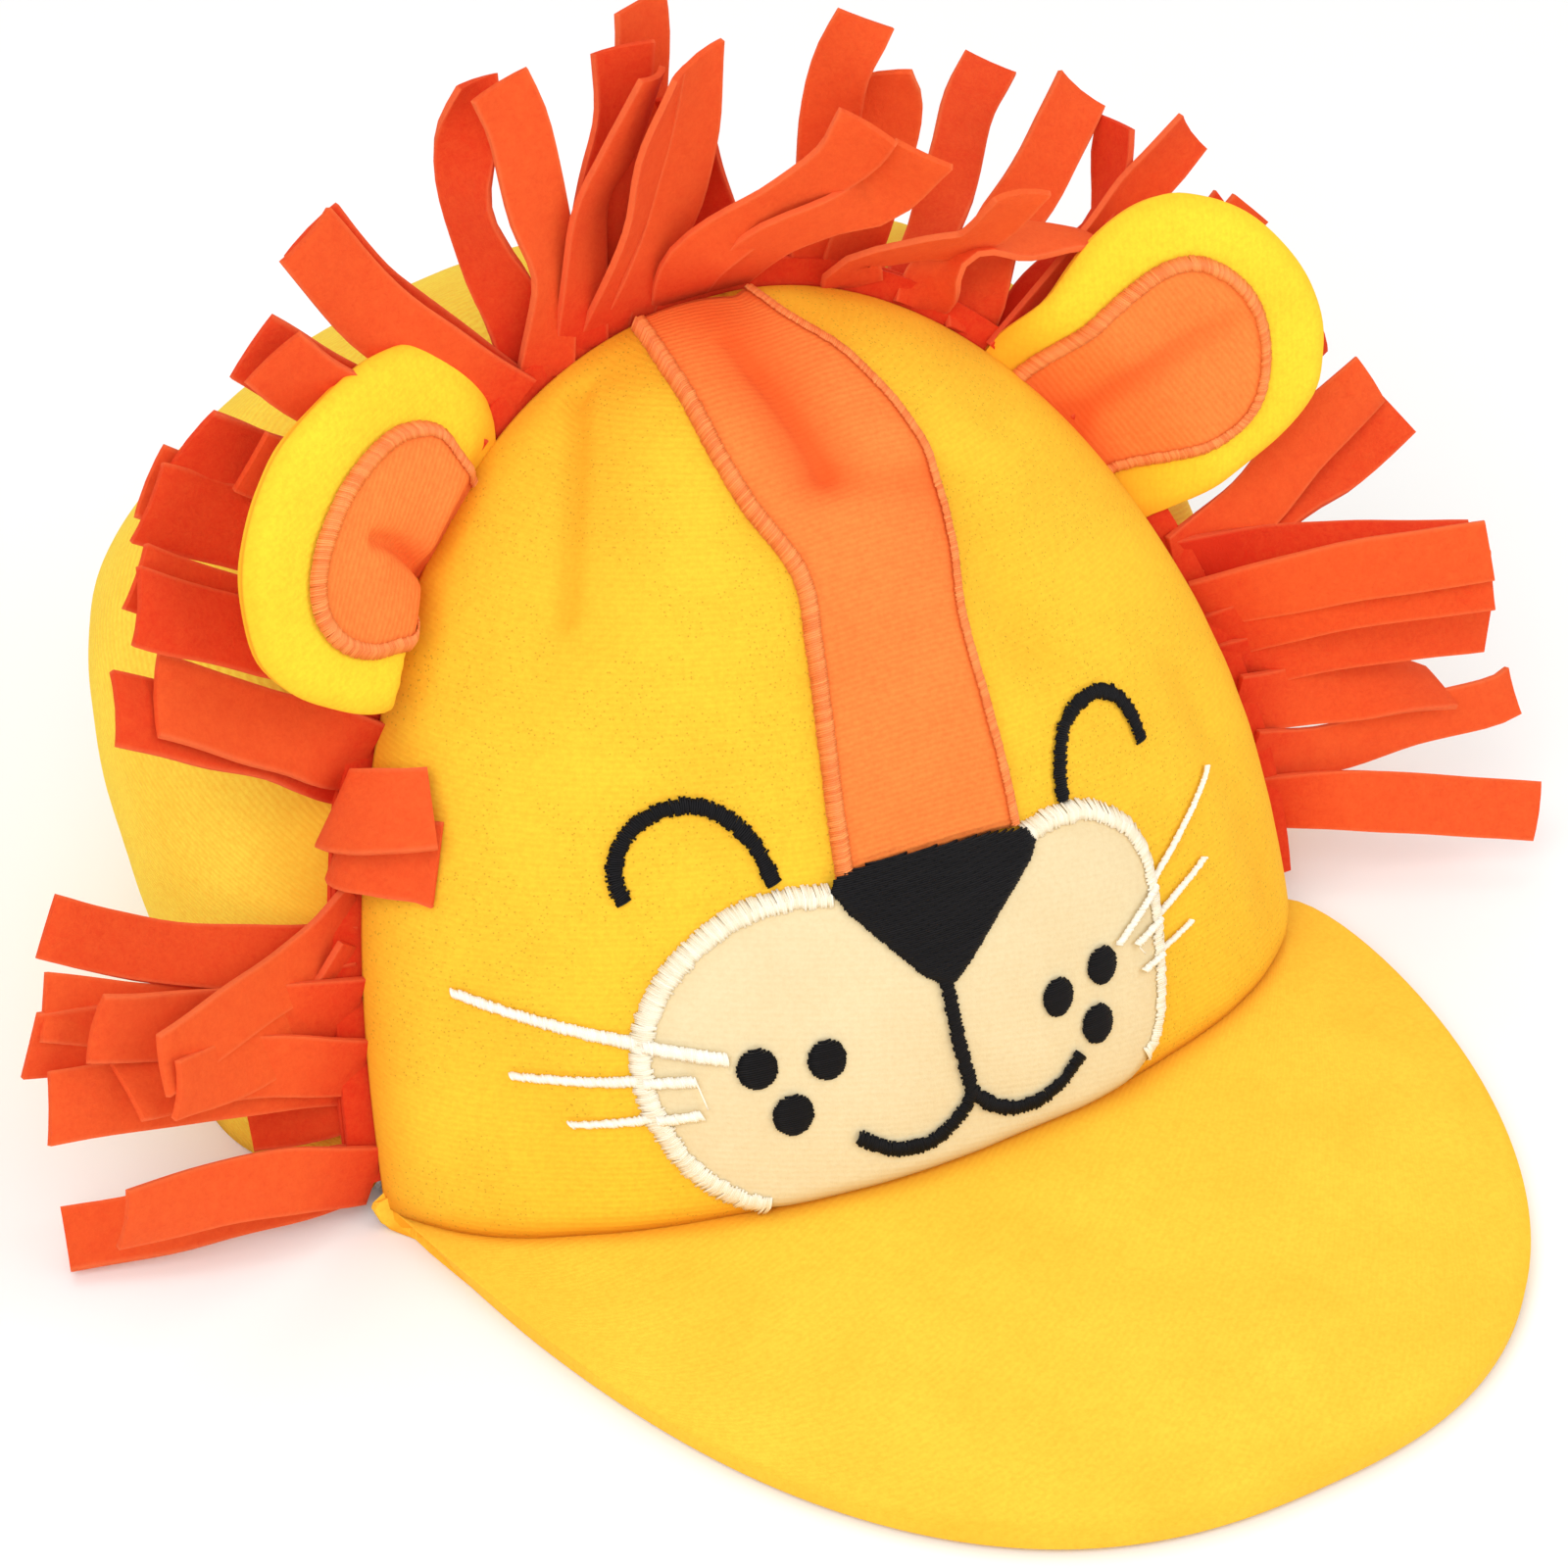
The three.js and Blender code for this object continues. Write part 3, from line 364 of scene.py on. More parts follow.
def plain_face(turn, up):
    """The face before its folds, by turn from the middle (radians) and share of the height."""
    half_width, set_back = seam_at(up, turn)
    section = FACE["section"]
    forward = FACE["depth"] * max(1 - up ** FACE["profile"], 0) ** (1 / FACE["profile"])
    ahead = max(math.cos(turn), 0)
    return Vector((
        math.copysign(half_width * abs(math.sin(turn)) ** (2 / section), turn),
        set_back - forward * ahead ** (2 / section),
        CROWN_HEIGHT * up + FACE["rim_raise"] * (1 - up) ** 2 * ahead ** 2,
    ))


# %% [markdown]
# The photograph shows a few soft valleys: a dart that runs from the top of the forehead and ends in a dimple,
# one beside it on the left, and one that falls down the right cheek. Each is a line with a width and a
# depth, given across the face in millimetres and up its profile in degrees.

# %% Folds and dents of the face
FOLDS = [  # start and end, each across and degrees up, then half width and depth
    ((-5, 84), (-1, 54), 6, 1.8),
    ((-6, 80), (-0.5, 53), 1.6, 0.9),
    ((0, 52), (12, 50), 4, 0.7),
    ((-27, 82), (-44, 48), 9, 1.5),
    ((-29, 84), (-43.5, 51), 2, 1.5),
    ((20, 50), (25, 30), 6, 1.3),
    ((-70, 22), (-62, 3), 5, 0.7),
    ((58, 30), (70, 5), 5, 0.8),
]
RISE_LENGTH = 1.6  # millimetres along the profile for one degree up it


def seam_over(across):
    """Share of the height at which the mane seam passes over a place across the face."""
    shoulder = SEAM["left_shoulder"] if across < 0 else SEAM["right_shoulder"]
    return max(1 - (abs(across) / RIM_HALF_WIDTH) ** shoulder, 0) ** (1 / shoulder)


def rise_at(across, up):
    """Degrees up the face's profile."""
    share = min(max(up / max(seam_over(across), 0.01), 0), 1)
    return math.degrees(math.asin(share ** (FACE["profile"] / 2)))


def fold_depth(across, up):
    """How deep the valleys are at a place on the face."""
    place = Vector((across, rise_at(across, up) * RISE_LENGTH))
    total = 0
    for start, end, half_width, depth in FOLDS:
        start, end = (Vector((spot, rise * RISE_LENGTH)) for spot, rise in (start, end))
        along = end - start
        passed = min(max((place - start).dot(along) / along.length_squared, 0), 1)
        away = (place - start - along * passed).length
        total += depth * math.exp(-((away / half_width) ** 2))
    return total


def dents(point, waves):
    """The unevenness of soft cloth, from waves of a height, a length and an offset."""
    return sum(height * noise.noise(point / length + Vector(offset)) for height, length, offset in waves)


def outward(surface, first, second, step):
    """The outward direction of a surface, from points just either side of a place."""
    along_first = surface(first + step, second) - surface(first - step, second)
    along_second = surface(first, second + step) - surface(first, second - step)
    return along_first.cross(along_second).normalized()


INSIDE = 0.012  # directions at a panel's very edge are taken this far inside it
FACE_DENTS = ((0.5, 22, (0, 0, 0)), (0.16, 7, (0, 0, 0)))
FOOT_ROLL, ROLL_HEIGHT = 1.1, 3.5  # how far and over what height the face's lower edge is rolled in


def face_point(turn, up, lift=0.0):
    """A place on the face, lifted off it, with its folds, dents and rolled lower edge."""
    edge = RIGHT_ANGLE - 2 * INSIDE
    direction = outward(
        plain_face, min(max(turn, -edge), edge), min(max(up, INSIDE), 1 - INSIDE), INSIDE / 2)
    point = plain_face(turn, up)
    fade = smooth(math.cos(turn), 0, 0.3) * smooth(1 - up, 0, 0.03)
    roll = FOOT_ROLL * (1 - smooth(up * CROWN_HEIGHT, 0, ROLL_HEIGHT)) ** 2
    roll *= smooth(math.cos(turn), 0, 0.3)
    relief = fade * (dents(point, FACE_DENTS) - fold_depth(point.x, up)) - roll
    return point + direction * (lift + relief)


def face_across(across, up, lift=0.0):
    """The same by millimetres across the face, which suits what is sewn on it."""
    half_width, _ = seam_at(up, across)
    share = min(abs(across) / max(half_width, 0.001), 1)
    return face_point(math.copysign(math.asin(share ** (FACE["section"] / 2)), across), up, lift)


print("dart bottom lies", round(fold_depth(-1, 0.86), 2), "mm deep")

# %% [markdown]
# ## Sheets of cloth
#
# Every panel starts as a flat grid, as the cloth lay on the cutting table. Its corners are then carried to
# their places on the cap. Before that is forgotten, the distances between neighbours are added up along
# each row, and they become the UV map, in millimetres, that ribs and weave are drawn on. A Solidify
# modifier gives the cloth its thickness, inwards from the outer face.


# %% Sheet helpers
WELD = 0.004  # corners that meet within this many millimetres become one


def shaped_sheet(columns, rows, place, shade=None):
    """A grid carried to place(across, along), both shares from 0 to 1, with its cloth map."""
    bm = bmesh.new()
    bmesh.ops.create_grid(bm, x_segments=columns, y_segments=rows, size=0.5)
    cloth = bm.loops.layers.uv.new("cloth")
    depth = bm.verts.layers.float.new("shade")
    shares = {vert: (vert.co.x + 0.5, vert.co.y + 0.5) for vert in bm.verts}
    grid = [[None] * (columns + 1) for _ in range(rows + 1)]
    for vert, (across, along) in shares.items():
        vert.co = place(across, along)
        vert[depth] = shade(across, along) if shade else 0
        grid[round(along * rows)][round(across * columns)] = vert
    middle = columns // 2
    laid = {}
    height = 0
    for row, line in enumerate(grid):
        if row:
            height += (line[middle].co - grid[row - 1][middle].co).length
        for direction in (1, -1):
            reach = 0
            laid[line[middle]] = (0, height)
            for column in range(middle + direction, columns + 1 if direction > 0 else -1, direction):
                reach += (line[column].co - line[column - direction].co).length
                laid[line[column]] = (direction * reach, height)
    for face in bm.faces:
        for loop in face.loops:
            loop[cloth].uv = laid[loop.vert]
    for vert in bm.verts:
        vert.co = placed(vert.co)
    bmesh.ops.remove_doubles(bm, verts=bm.verts, dist=WELD * MM)
    return bm


def map_flat(bm, flat):
    """Draw a piece's cloth map anew, in millimetres, where it is seen flat."""
    cloth = bm.loops.layers.uv["cloth"]
    for vert in bm.verts:
        for loop in vert.link_loops:
            loop[cloth].uv = flat(vert.co)


def finish_piece(name, bm, material, nodes, wall=0.0, offset=-1.0, bevel=0.0, segments=2):
    """Turn a bmesh into a piece that rides on the cap and stands for its nodes."""
    mesh = mesh_of(name, bm)
    mesh.shade_smooth()
    mesh.materials.append(material)
    piece = new_object(name, mesh)
    if wall:
        solid = piece.modifiers.new("cloth_thickness", "SOLIDIFY")
        solid.thickness = wall * MM
        solid.offset = offset
        solid.use_even_offset = False
    if bevel:
        soft_edge = piece.modifiers.new("soft_edge", "BEVEL")
        soft_edge.width = bevel * MM
        soft_edge.segments = segments
        soft_edge.limit_method = "ANGLE"
        soft_edge.angle_limit = math.radians(50)
    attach(piece, "root")
    if nodes:
        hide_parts(*nodes)
    print(name, "has", len(mesh.polygons), "faces before its modifiers")
    return piece


# %% [markdown]
# ## Face panel
#
# The face is one panel of knit cloth from the peak seam up to the mane seam, and its folds are part of the
# surface function. Near its seams the cloth turns under. There, in its folds and towards its sides, which
# turn away from the front, the colour is painted deeper as shade: the shade attribute carries that painted
# shade to the material, as a weighted sum from 0 on open cloth to 1 in the deepest fold.

# %% Face panel
# Painted shade: deeper colour towards the face's sides and top, at its foot and in its valleys
def face_shade(across, along):
    turn, up = (across - 0.5) * math.pi, up_of(along * RIGHT_ANGLE)
    point = plain_face(turn, up)
    side_edge = 1 - smooth(math.cos(turn), 0.0, 0.35)
    top_edge = smooth(up, 0.95, 1)
    foot = 1 - smooth(up * CROWN_HEIGHT, 0, 5)
    valley = min(fold_depth(point.x, up) / 3, 1)
    return min(0.5 * side_edge + 0.5 * top_edge + 0.8 * foot + 0.5 * valley, 1)


face_bm = shaped_sheet(
    150, 110,
    lambda across, along: face_point((across - 0.5) * math.pi, up_of(along * RIGHT_ANGLE)), face_shade)
face_surface = BVHTree.FromBMesh(face_bm)
finish_piece("face_cloth", face_bm, knit["yellow_face"], ["front_panel"], wall=WALL)

# %% [markdown]
# ## Back panel
#
# Behind the mane the crown is one full panel, larger than the head, so that it bags a little. It has no
# gathers, only broad soft dents.

# %% Back panel
RIM_SETTLE = {"along": 0.35, "power": 6}
BACK_DENTS = ((1.4, 34, (3, 1, 7)), (0.3, 11, (0, 0, 0)))


def rim_drop(around):
    """The back rim's height, as it settles from the foot of the mane seam to the floor."""
    return FLOOR * smooth(math.sin(math.pi * around), 0, RIM_SETTLE["along"])


def plain_back(around, up):
    """The back by place (0 at the right seam, 1 at the left) and share of the height."""
    full = smooth(up, 0, BACK["full_at"])
    spread = mix(BACK["rim_spread"], BACK["spread"], full)
    depth = mix(BACK["rim_depth"], BACK["depth"], full)
    depth *= max(1 - up ** BACK["profile"], 0) ** (1 / BACK["profile"])
    start = math.acos(1 / spread)
    turn = mix(-start, math.pi + start, around)
    half_width, set_back = seam_at(up, math.cos(turn))
    return Vector((
        spread * half_width * math.cos(turn),
        set_back + HEADER + 2 * GAP + depth * (math.sin(turn) + math.sin(start)),
        CROWN_HEIGHT * up + rim_drop(around) * (1 - up) ** RIM_SETTLE["power"],
    ))


def back_point(around, up, lift=0.0):
    """A place on the back panel, lifted off it, with its dents."""
    inside = min(max(around, INSIDE / 2), 1 - INSIDE / 2), min(max(up, INSIDE), 1 - INSIDE)
    direction = outward(plain_back, *inside, INSIDE / 4)
    point = plain_back(around, up)
    fade = smooth(math.sin(math.pi * around), 0, 0.3) * smooth(1 - up, 0, 0.05) * smooth(up, 0, 0.1)
    return point + direction * (lift + fade * dents(point, BACK_DENTS))


# Painted shade: deeper colour along the back's side seams, at its foot and at its top
def back_shade(around, along):
    up = up_of(along * RIGHT_ANGLE)
    side_edge = 1 - smooth(math.sin(math.pi * around), 0, 0.2)
    foot = 1 - smooth(up * CROWN_HEIGHT, 0, 6)
    return min(0.6 * side_edge + 0.5 * foot + 0.4 * smooth(up, 0.97, 1), 1)


back_bm = shaped_sheet(
    150, 90, lambda around, along: back_point(around, up_of(along * RIGHT_ANGLE)), back_shade)
back_surface = BVHTree.FromBMesh(back_bm)
finish_piece("back_cloth", back_bm, knit["yellow_back"], ["back_panel"], wall=WALL)

# %% [markdown]
# ## Peak
#
# The peak is a thin board covered in the same cloth. Its outline is a rounded shape about a middle well
# under the crown, and its inner edge is tucked under the face's wall. A wide bevel on the board's edge
# gives the soft roll of cloth drawn over it.

# %% Peak
PEAK = {
    "thickness": 2.6, "half_width": 88.5, "length": 158, "across": 5, "back": 34, "turn": 1.8,
    "squareness": 2.5, "left_end": -78, "right_end": 79, "corner": 0.98, "camber": 1, "tuck": 1.5,
    "edge_bevel": 1.1,
}
PEAK_DENTS = ((0.25, 18, (9, 2, 4)),)


def peak_point(across, along):
    """The peak's upper face: across it from left to right, along it from its tip to its seam."""
    turn = (across - 0.5) * math.pi
    seam = face_point(turn, 0, -PEAK["tuck"] + FOOT_ROLL)
    seam.z = plain_face(turn, 0).z - GAP
    around = math.radians(mix(PEAK["left_end"], PEAK["right_end"], across))
    power = 2 / PEAK["squareness"]
    edge = Vector((
        math.copysign(PEAK["half_width"] * abs(math.sin(around)) ** power, around),
        -PEAK["length"] * math.cos(around) ** power,
        FLOOR + PEAK["thickness"],
    ))
    edge = Matrix.Rotation(math.radians(PEAK["turn"]), 3, "Z") @ edge
    edge += Vector((PEAK["across"], PEAK["back"], PEAK["camber"] * math.cos(around) ** 2))
    edge = edge.lerp(seam, PEAK["corner"] * abs(2 * across - 1) ** 12)
    point = edge.lerp(seam, along)
    ripple = dents(point, PEAK_DENTS) * smooth(along, 0, 0.2) * smooth(1 - along, 0, 0.2)
    return point + Vector((0, 0, ripple))


# Painted shade: deeper colour at the peak's outer edge and where it meets the face
def peak_shade(across, along):
    edge = 1 - smooth(along, 0, 0.05)
    seam = smooth(along, 0.93, 1)
    return min(0.25 * edge + 0.8 * seam, 1)


peak_bm = shaped_sheet(120, 40, peak_point, peak_shade)
finish_piece(
    "peak_cloth", peak_bm, knit["yellow_peak"], ["peak"], wall=PEAK["thickness"],
    bevel=PEAK["edge_bevel"], segments=4)

# %% [markdown]
# ## Lining band
#
# A white tape is sewn inside the rim. It goes all the way round, across the face and then across the back,
# so its grid runs once round and is welded where its ends meet.

# %% Lining band
LINING = {"top": 17, "thickness": 1.2, "sag": 2.2, "sag_at": 0.5, "sag_along": 0.035}


def lining_point(around, along):
    """A place on the tape's outer face: around it from the right seam, and up it."""
    sag = math.exp(-((around - LINING["sag_at"]) / LINING["sag_along"]) ** 2)
    height = mix(FLOOR + 0.3, LINING["top"], along)
    up = max(height, 0) / CROWN_HEIGHT
    inset = -(WALL + 2 * GAP + 0.3) + LINING["sag"] * sag * (1 - smooth(height, 0, 3))
    place = around * 2
    if place < 1:
        roll = FOOT_ROLL * (1 - smooth(height, 0, ROLL_HEIGHT)) ** 2
        point = face_point((place - 0.5) * math.pi, up, inset + roll)
    else:
        point = back_point(place - 1, up, inset)
    point.z = height
    return point


lining_bm = shaped_sheet(200, 10, lining_point)
finish_piece(
    "lining_tape", lining_bm, lining_cotton, ["lining_band"], wall=LINING["thickness"])

# %% [markdown]
# ## Muzzle and forehead stripe
#
# Both are appliqué: a thin shape of knit cloth laid on the face and held by a satin stitch over its edge.
# The muzzle is built as rings about its middle, so its rim is exactly the drawn outline. Its lower edge is
# caught in the peak seam. The stripe is a strip between two drawn borders.

# %% Outlines of the appliqué
APPLIQUE = 1
PATCH_TOP = GAP + APPLIQUE
MUZZLE_MIDDLE = Vector((-3, 22))
MUZZLE_STEPS = 160
STRIPE_STEPS = 110
MUZZLE = [
    (0, 44), (-9, 45), (-16.8, 46.2), (-23.3, 46.9), (-29.6, 46.3), (-35.3, 44.2), (-40.2, 41), (-44.4, 37),
    (-47.4, 32.2), (-48.8, 26.2), (-48.3, 20.6), (-46.8, 15.7), (-44.9, 11.6), (-42.2, 8), (-38.6, 4.6),
    (-35, 2.4), (-31, 1), (-24, 0.6), (-12, 0.6), (2, 0.6), (14, 0.6), (24, 0.8), (31, 2.2), (36.4, 5.6),
    (38.6, 10), (39.4, 14.8), (39.8, 20), (40.2, 26.8), (40, 33), (38.8, 37.2), (36, 41), (30, 45),
    (23.3, 46.4), (17.5, 45.8), (9, 44.6),
]
STRIPE = [  # degrees up the profile, left border, right border
    (14.6, -14, 16), (19, -13.4, 15.8), (25, -12.2, 15.2), (34, -10.6, 14.9), (42, -9.6, 17),
    (52, -13.8, 17.8), (61, -15.6, 15), (72, -16, 10.6), (81, -16, 5.5), (89, -15.4, 3.2),
]


FINE_STEPS = 12  # a curve is first drawn with this many steps between two of its places


def reaches(places):
    """How far along a line each of its places lies."""
    reach = [0]
    for start, end in zip(places, places[1:]):
        reach.append(reach[-1] + (end - start).length)
    return reach


def stretches(reach, distances):
    """For rising distances along a line, the stretch that each falls in and its share of that stretch."""
    index = 0
    for wanted in distances:
        while index < len(reach) - 2 and reach[index + 1] <= wanted:
            index += 1
        yield index, (wanted - reach[index]) / max(reach[index + 1] - reach[index], 1e-9)


def curve_through(points, count, closed=False):
    """Evenly spaced places on a smooth curve through a list of places."""
    points = [Vector(point) for point in points]
    last = len(points) if closed else len(points) - 1
    fine = []
    for index in range(last):
        if closed:
            before, here, after, beyond = (points[(index + step) % len(points)] for step in (-1, 0, 1, 2))
        else:
            here, after = points[index], points[index + 1]
            before = points[index - 1] if index else here * 2 - after
            beyond = points[index + 2] if index + 2 < len(points) else after * 2 - here
        for step in range(FINE_STEPS):
            t = step / FINE_STEPS
            fine.append(0.5 * (2 * here + (after - before) * t
                               + (2 * before - 5 * here + 4 * after - beyond) * t ** 2
                               + (3 * here - before - 3 * after + beyond) * t ** 3))
    fine.append(points[0] if closed else points[-1])
    reach = reaches(fine)
    wanted = [reach[-1] * step / count for step in range(count + 1)]
    return [fine[index].lerp(fine[index + 1], share) for index, share in stretches(reach, wanted)]


MUZZLE_EDGE = curve_through(MUZZLE, MUZZLE_STEPS, closed=True)
print("muzzle outline of", len(MUZZLE_EDGE), "places")

# %% Muzzle patch
def muzzle_spot(around, inward):
    """A place on the flat muzzle, round its outline and in from its edge."""
    return MUZZLE_EDGE[round(around * MUZZLE_STEPS)].lerp(MUZZLE_MIDDLE, inward)


def muzzle_point(around, inward):
    spot = muzzle_spot(around, inward)
    return face_across(spot.x, spot.y / CROWN_HEIGHT, PATCH_TOP)


# Painted shade: deeper colour along the muzzle's low edge at the peak seam and round its rim
def muzzle_shade(around, inward):
    low = muzzle_spot(around, inward).y
    return 0.9 * (1 - smooth(low, 0.5, 4)) + 0.35 * (1 - smooth(inward, 0, 0.12))


muzzle_bm = shaped_sheet(MUZZLE_STEPS, 26, muzzle_point, muzzle_shade)
map_flat(muzzle_bm, lambda place: (place.x / MM, place.z / MM))
muzzle_surface = BVHTree.FromBMesh(muzzle_bm)
finish_piece("muzzle_cloth", muzzle_bm, knit["cream"], ["muzzle_patch"], wall=APPLIQUE)

# %% Forehead stripe
STRIPE_BORDERS = [curve_through([(row[0], row[side], 0) for row in STRIPE], STRIPE_STEPS) for side in (1, 2)]


def up_at_rise(across, rise):
    """Share of the crown's height by millimetres across and degrees up the face's profile."""
    return seam_over(across) * math.sin(math.radians(rise)) ** (2 / FACE["profile"])


def face_at_rise(across, rise, lift=0.0):
    return face_across(across, up_at_rise(across, rise), lift)


def stripe_spot(across, along):
    """Millimetres across the face and degrees up it, for a place on the flat stripe."""
    left, edge = (border[round(along * STRIPE_STEPS)] for border in STRIPE_BORDERS)
    return mix(left.y, edge.y, across), mix(left.x, edge.x, across)


# Painted shade: deeper colour along the stripe's borders, in the dart and at its top
def stripe_shade(across, along):
    border = 1 - smooth(min(across, 1 - across), 0, 0.1)
    spot, rise = stripe_spot(across, along)
    valley = min(fold_depth(spot, up_at_rise(spot, rise)) / 2.5, 0.9)
    return min(0.4 * border + valley + 0.4 * smooth(along, 0.93, 1), 1)


stripe_bm = shaped_sheet(
    32, STRIPE_STEPS,
    lambda across, along: face_at_rise(*stripe_spot(across, along), PATCH_TOP), stripe_shade)
stripe_surface = BVHTree.FromBMesh(stripe_bm)
finish_piece("stripe_cloth", stripe_bm, knit["orange"], ["forehead_stripe"], wall=APPLIQUE)

# %% [markdown]
# ## Laying thread
#
# Satin stitch is many short threads side by side across a line, each arched over from edge to edge. One
# straight thread is made, an Array modifier lays out as many copies as there are stitches, as on a loom,
# and each copy is then pulled onto its own route. A route is a short list of places, each with the
# direction away from the cloth. Rays cast at the dressed face find the cloth under each place, so a stitch
# that starts on a patch and ends beside it steps down by itself.


# %% Thread helpers
THREAD_SIDES = 5
LOOM_PITCH = 4
THREAD, FINE_THREAD, NOSE_THREAD, JUMP_THREAD = 0.42, 0.4, 0.46, 0.25  # thicknesses
RAY_REACH = 9  # rays start this far off the cloth


def cloth_under(point, away, surfaces):
    """Where a ray towards the cloth first meets one of the surfaces, or the point itself."""
    start = placed(point + away * RAY_REACH)
    hits = [surface.ray_cast(start, -away, 2.2 * RAY_REACH * MM) for surface in surfaces]
    hits = [hit for hit in hits if hit[0] is not None]
    return min(hits, key=lambda hit: hit[3])[0] / MM - SHIFT if hits else point


def lay_threads(name, routes, thickness, material, nodes=()):
    """Pull one straight thread's copies onto their routes of places and outward directions."""
    steps = len(routes[0]) - 1
    bm = bmesh.new()
    bmesh.ops.create_cone(bm, cap_ends=True, segments=THREAD_SIDES, radius1=1, radius2=1, depth=steps)
    for cut in range(1, steps):
        bmesh.ops.bisect_plane(
            bm, geom=[*bm.verts, *bm.edges, *bm.faces], plane_co=(0, 0, cut - steps / 2), plane_no=(0, 0, 1))
    mesh = mesh_of(name + "_loom", bm)
    loom = new_object(name + "_loom", mesh)
    copies = loom.modifiers.new("copies", "ARRAY")
    copies.count = len(routes)
    copies.use_relative_offset = False
    copies.use_constant_offset = True
    copies.constant_offset_displace = (LOOM_PITCH, 0, 0)
    laid_out = loom.evaluated_get(bpy.context.evaluated_depsgraph_get())
    bm = bmesh.new()
    bm.from_mesh(laid_out.to_mesh())
    laid_out.to_mesh_clear()
    bpy.data.objects.remove(loom)
    bpy.data.meshes.remove(mesh)
    tone = bm.verts.layers.float.new("shade")
    chance = random.Random(1)
    tones = [chance.random() for _ in routes]
    half = thickness / 2
    for vert in bm.verts:
        index, step = round(vert.co.x / LOOM_PITCH), round(vert.co.z + steps / 2)
        route = routes[index]
        place, away = route[step]
        along = route[min(step + 1, steps)][0] - route[max(step - 1, 0)][0]
        side = away.cross(along).normalized()
        lifted = along.cross(side).normalized()
        vert[tone] = tones[index]
        vert.co = placed(
            place + side * ((vert.co.x - LOOM_PITCH * index) * half) + lifted * (vert.co.y * half))
    finish_piece(name, bm, material, nodes)


# %% Satin stitch along a line
STITCH_SHARES = (0, 0.25, 0.5, 0.75, 1)
PROBE = 3  # the direction away from the cloth is found this far off it


def satin_routes(line, width, surfaces, ragged, seed, spacing=0.32, height=0.45, slant=0.12):
    """Routes of stitches across a line of (place, outward) pairs; width may be a function of the share.
    Each place rests on the highest cloth near it, so that no edge of a patch pokes through."""
    chance = random.Random(seed)
    reach = reaches([place for place, _ in line])
    count = max(int(reach[-1] / spacing), 2)
    wanted = [min(reach[-1] * stitch / count, reach[-1] - 1e-6) for stitch in range(count + 1)]
    routes = []
    for stitch, (index, share) in enumerate(stretches(reach, wanted)):
        (start, start_away), (end, end_away) = line[index], line[index + 1]
        place = start.lerp(end, share)
        away = start_away.lerp(end_away, share).normalized()
        along = (end - start).normalized()
        side = along.cross(away).normalized()
        half = (width(stitch / count) if callable(width) else width) / 2
        left, edge = half + chance.uniform(-ragged, ragged), half + chance.uniform(-ragged, ragged)
        slip = slant + chance.uniform(-0.05, 0.05)
        spots = [place + side * mix(-left, edge, s) + along * (slip * (2 * s - 1)) for s in STITCH_SHARES]
        rises = [max((cloth_under(spot + side * aside, away, surfaces) - spot).dot(away)
                     for aside in (-half / 4, 0, half / 4)) for spot in spots]
        for number in (1, 2, 3, 2):
            rises[number] = max(rises[number], (rises[number - 1] + rises[number + 1]) / 2)
        arches = [height * math.sin(math.pi * (0.12 + 0.76 * s)) ** 0.7 for s in STITCH_SHARES]
        routes.append([(spot + away * (rise + arch), away) for spot, rise, arch in zip(spots, rises, arches)])
    return routes


def standing_on(surface, *place):
    """A place on the face, and the direction away from it."""
    low = surface(*place)
    return low, (surface(*place, PROBE) - low).normalized()


def face_line(places, count):
    """A smooth line on the face through (across, up) places, with its outward directions."""
    return [standing_on(face_across, spot.x, max(spot.y, 0.3) / CROWN_HEIGHT)
            for spot in curve_through(places, count)]


# %% [markdown]
# ## Satin borders
#
# The stripe's borders are orange cords of satin 2 mm wide. The muzzle's border is cream, 3 mm wide, with a
# ragged outer edge, and it leaves out the lower edge, which the peak seam holds.

# %% Satin borders of the stripe and the muzzle
dressed = [face_surface, muzzle_surface, stripe_surface]
stripe_routes = []
for seed, border in enumerate(STRIPE_BORDERS, 3):
    line = [standing_on(face_at_rise, spot.y, spot.x) for spot in border]
    stripe_routes += satin_routes(line, 2.2, dressed, height=0.55, ragged=0.1, slant=0.3, seed=seed)
lay_threads("stripe_border", stripe_routes, THREAD, orange_thread)

muzzle_routes = []
for seed, line in enumerate(
        (face_line([*MUZZLE[2:16], (-33.4, 1.8)], 200), face_line([(34.4, 4.6), *MUZZLE[23:34]], 150)), 5):
    muzzle_routes += satin_routes(line, 3.1, dressed, height=0.4, ragged=0.3, seed=seed)
lay_threads("muzzle_border", muzzle_routes, THREAD, cream_thread)

# %% [markdown]
# ## Nose, spots, eyes and mouth
#
# The nose and the spots are filled with rows of black stitches that run across, a little longer than the
# rows are deep, so that their ends make a ragged outline. The eyes and the mouth are satin lines.

# %% Filled shapes
NOSE = [
    (-16.6, 46.8), (-16, 48.4), (-12, 49.4), (-6.9, 49.6), (0.7, 49.2), (10.1, 48.4), (17, 46.9),
    (18.4, 44.6), (16.7, 42.2), (9.3, 36.4), (2.9, 31), (0.6, 29.2), (-1.4, 29.2), (-4.2, 31.2),
    (-9.5, 37.4), (-14.6, 43.2),
]
SHORTEST_STITCH, NARROWEST_ROW = 0.8, 0.2


def span_at(outline, up):
    """Where a closed outline's left and right edges lie at a height."""
    crossings = []
    for (x1, y1), (x2, y2) in zip(outline, [*outline[1:], outline[0]]):
        if (y1 <= up) != (y2 <= up):
            crossings.append(x1 + (x2 - x1) * (up - y1) / (y2 - y1))
    return min(crossings), max(crossings)


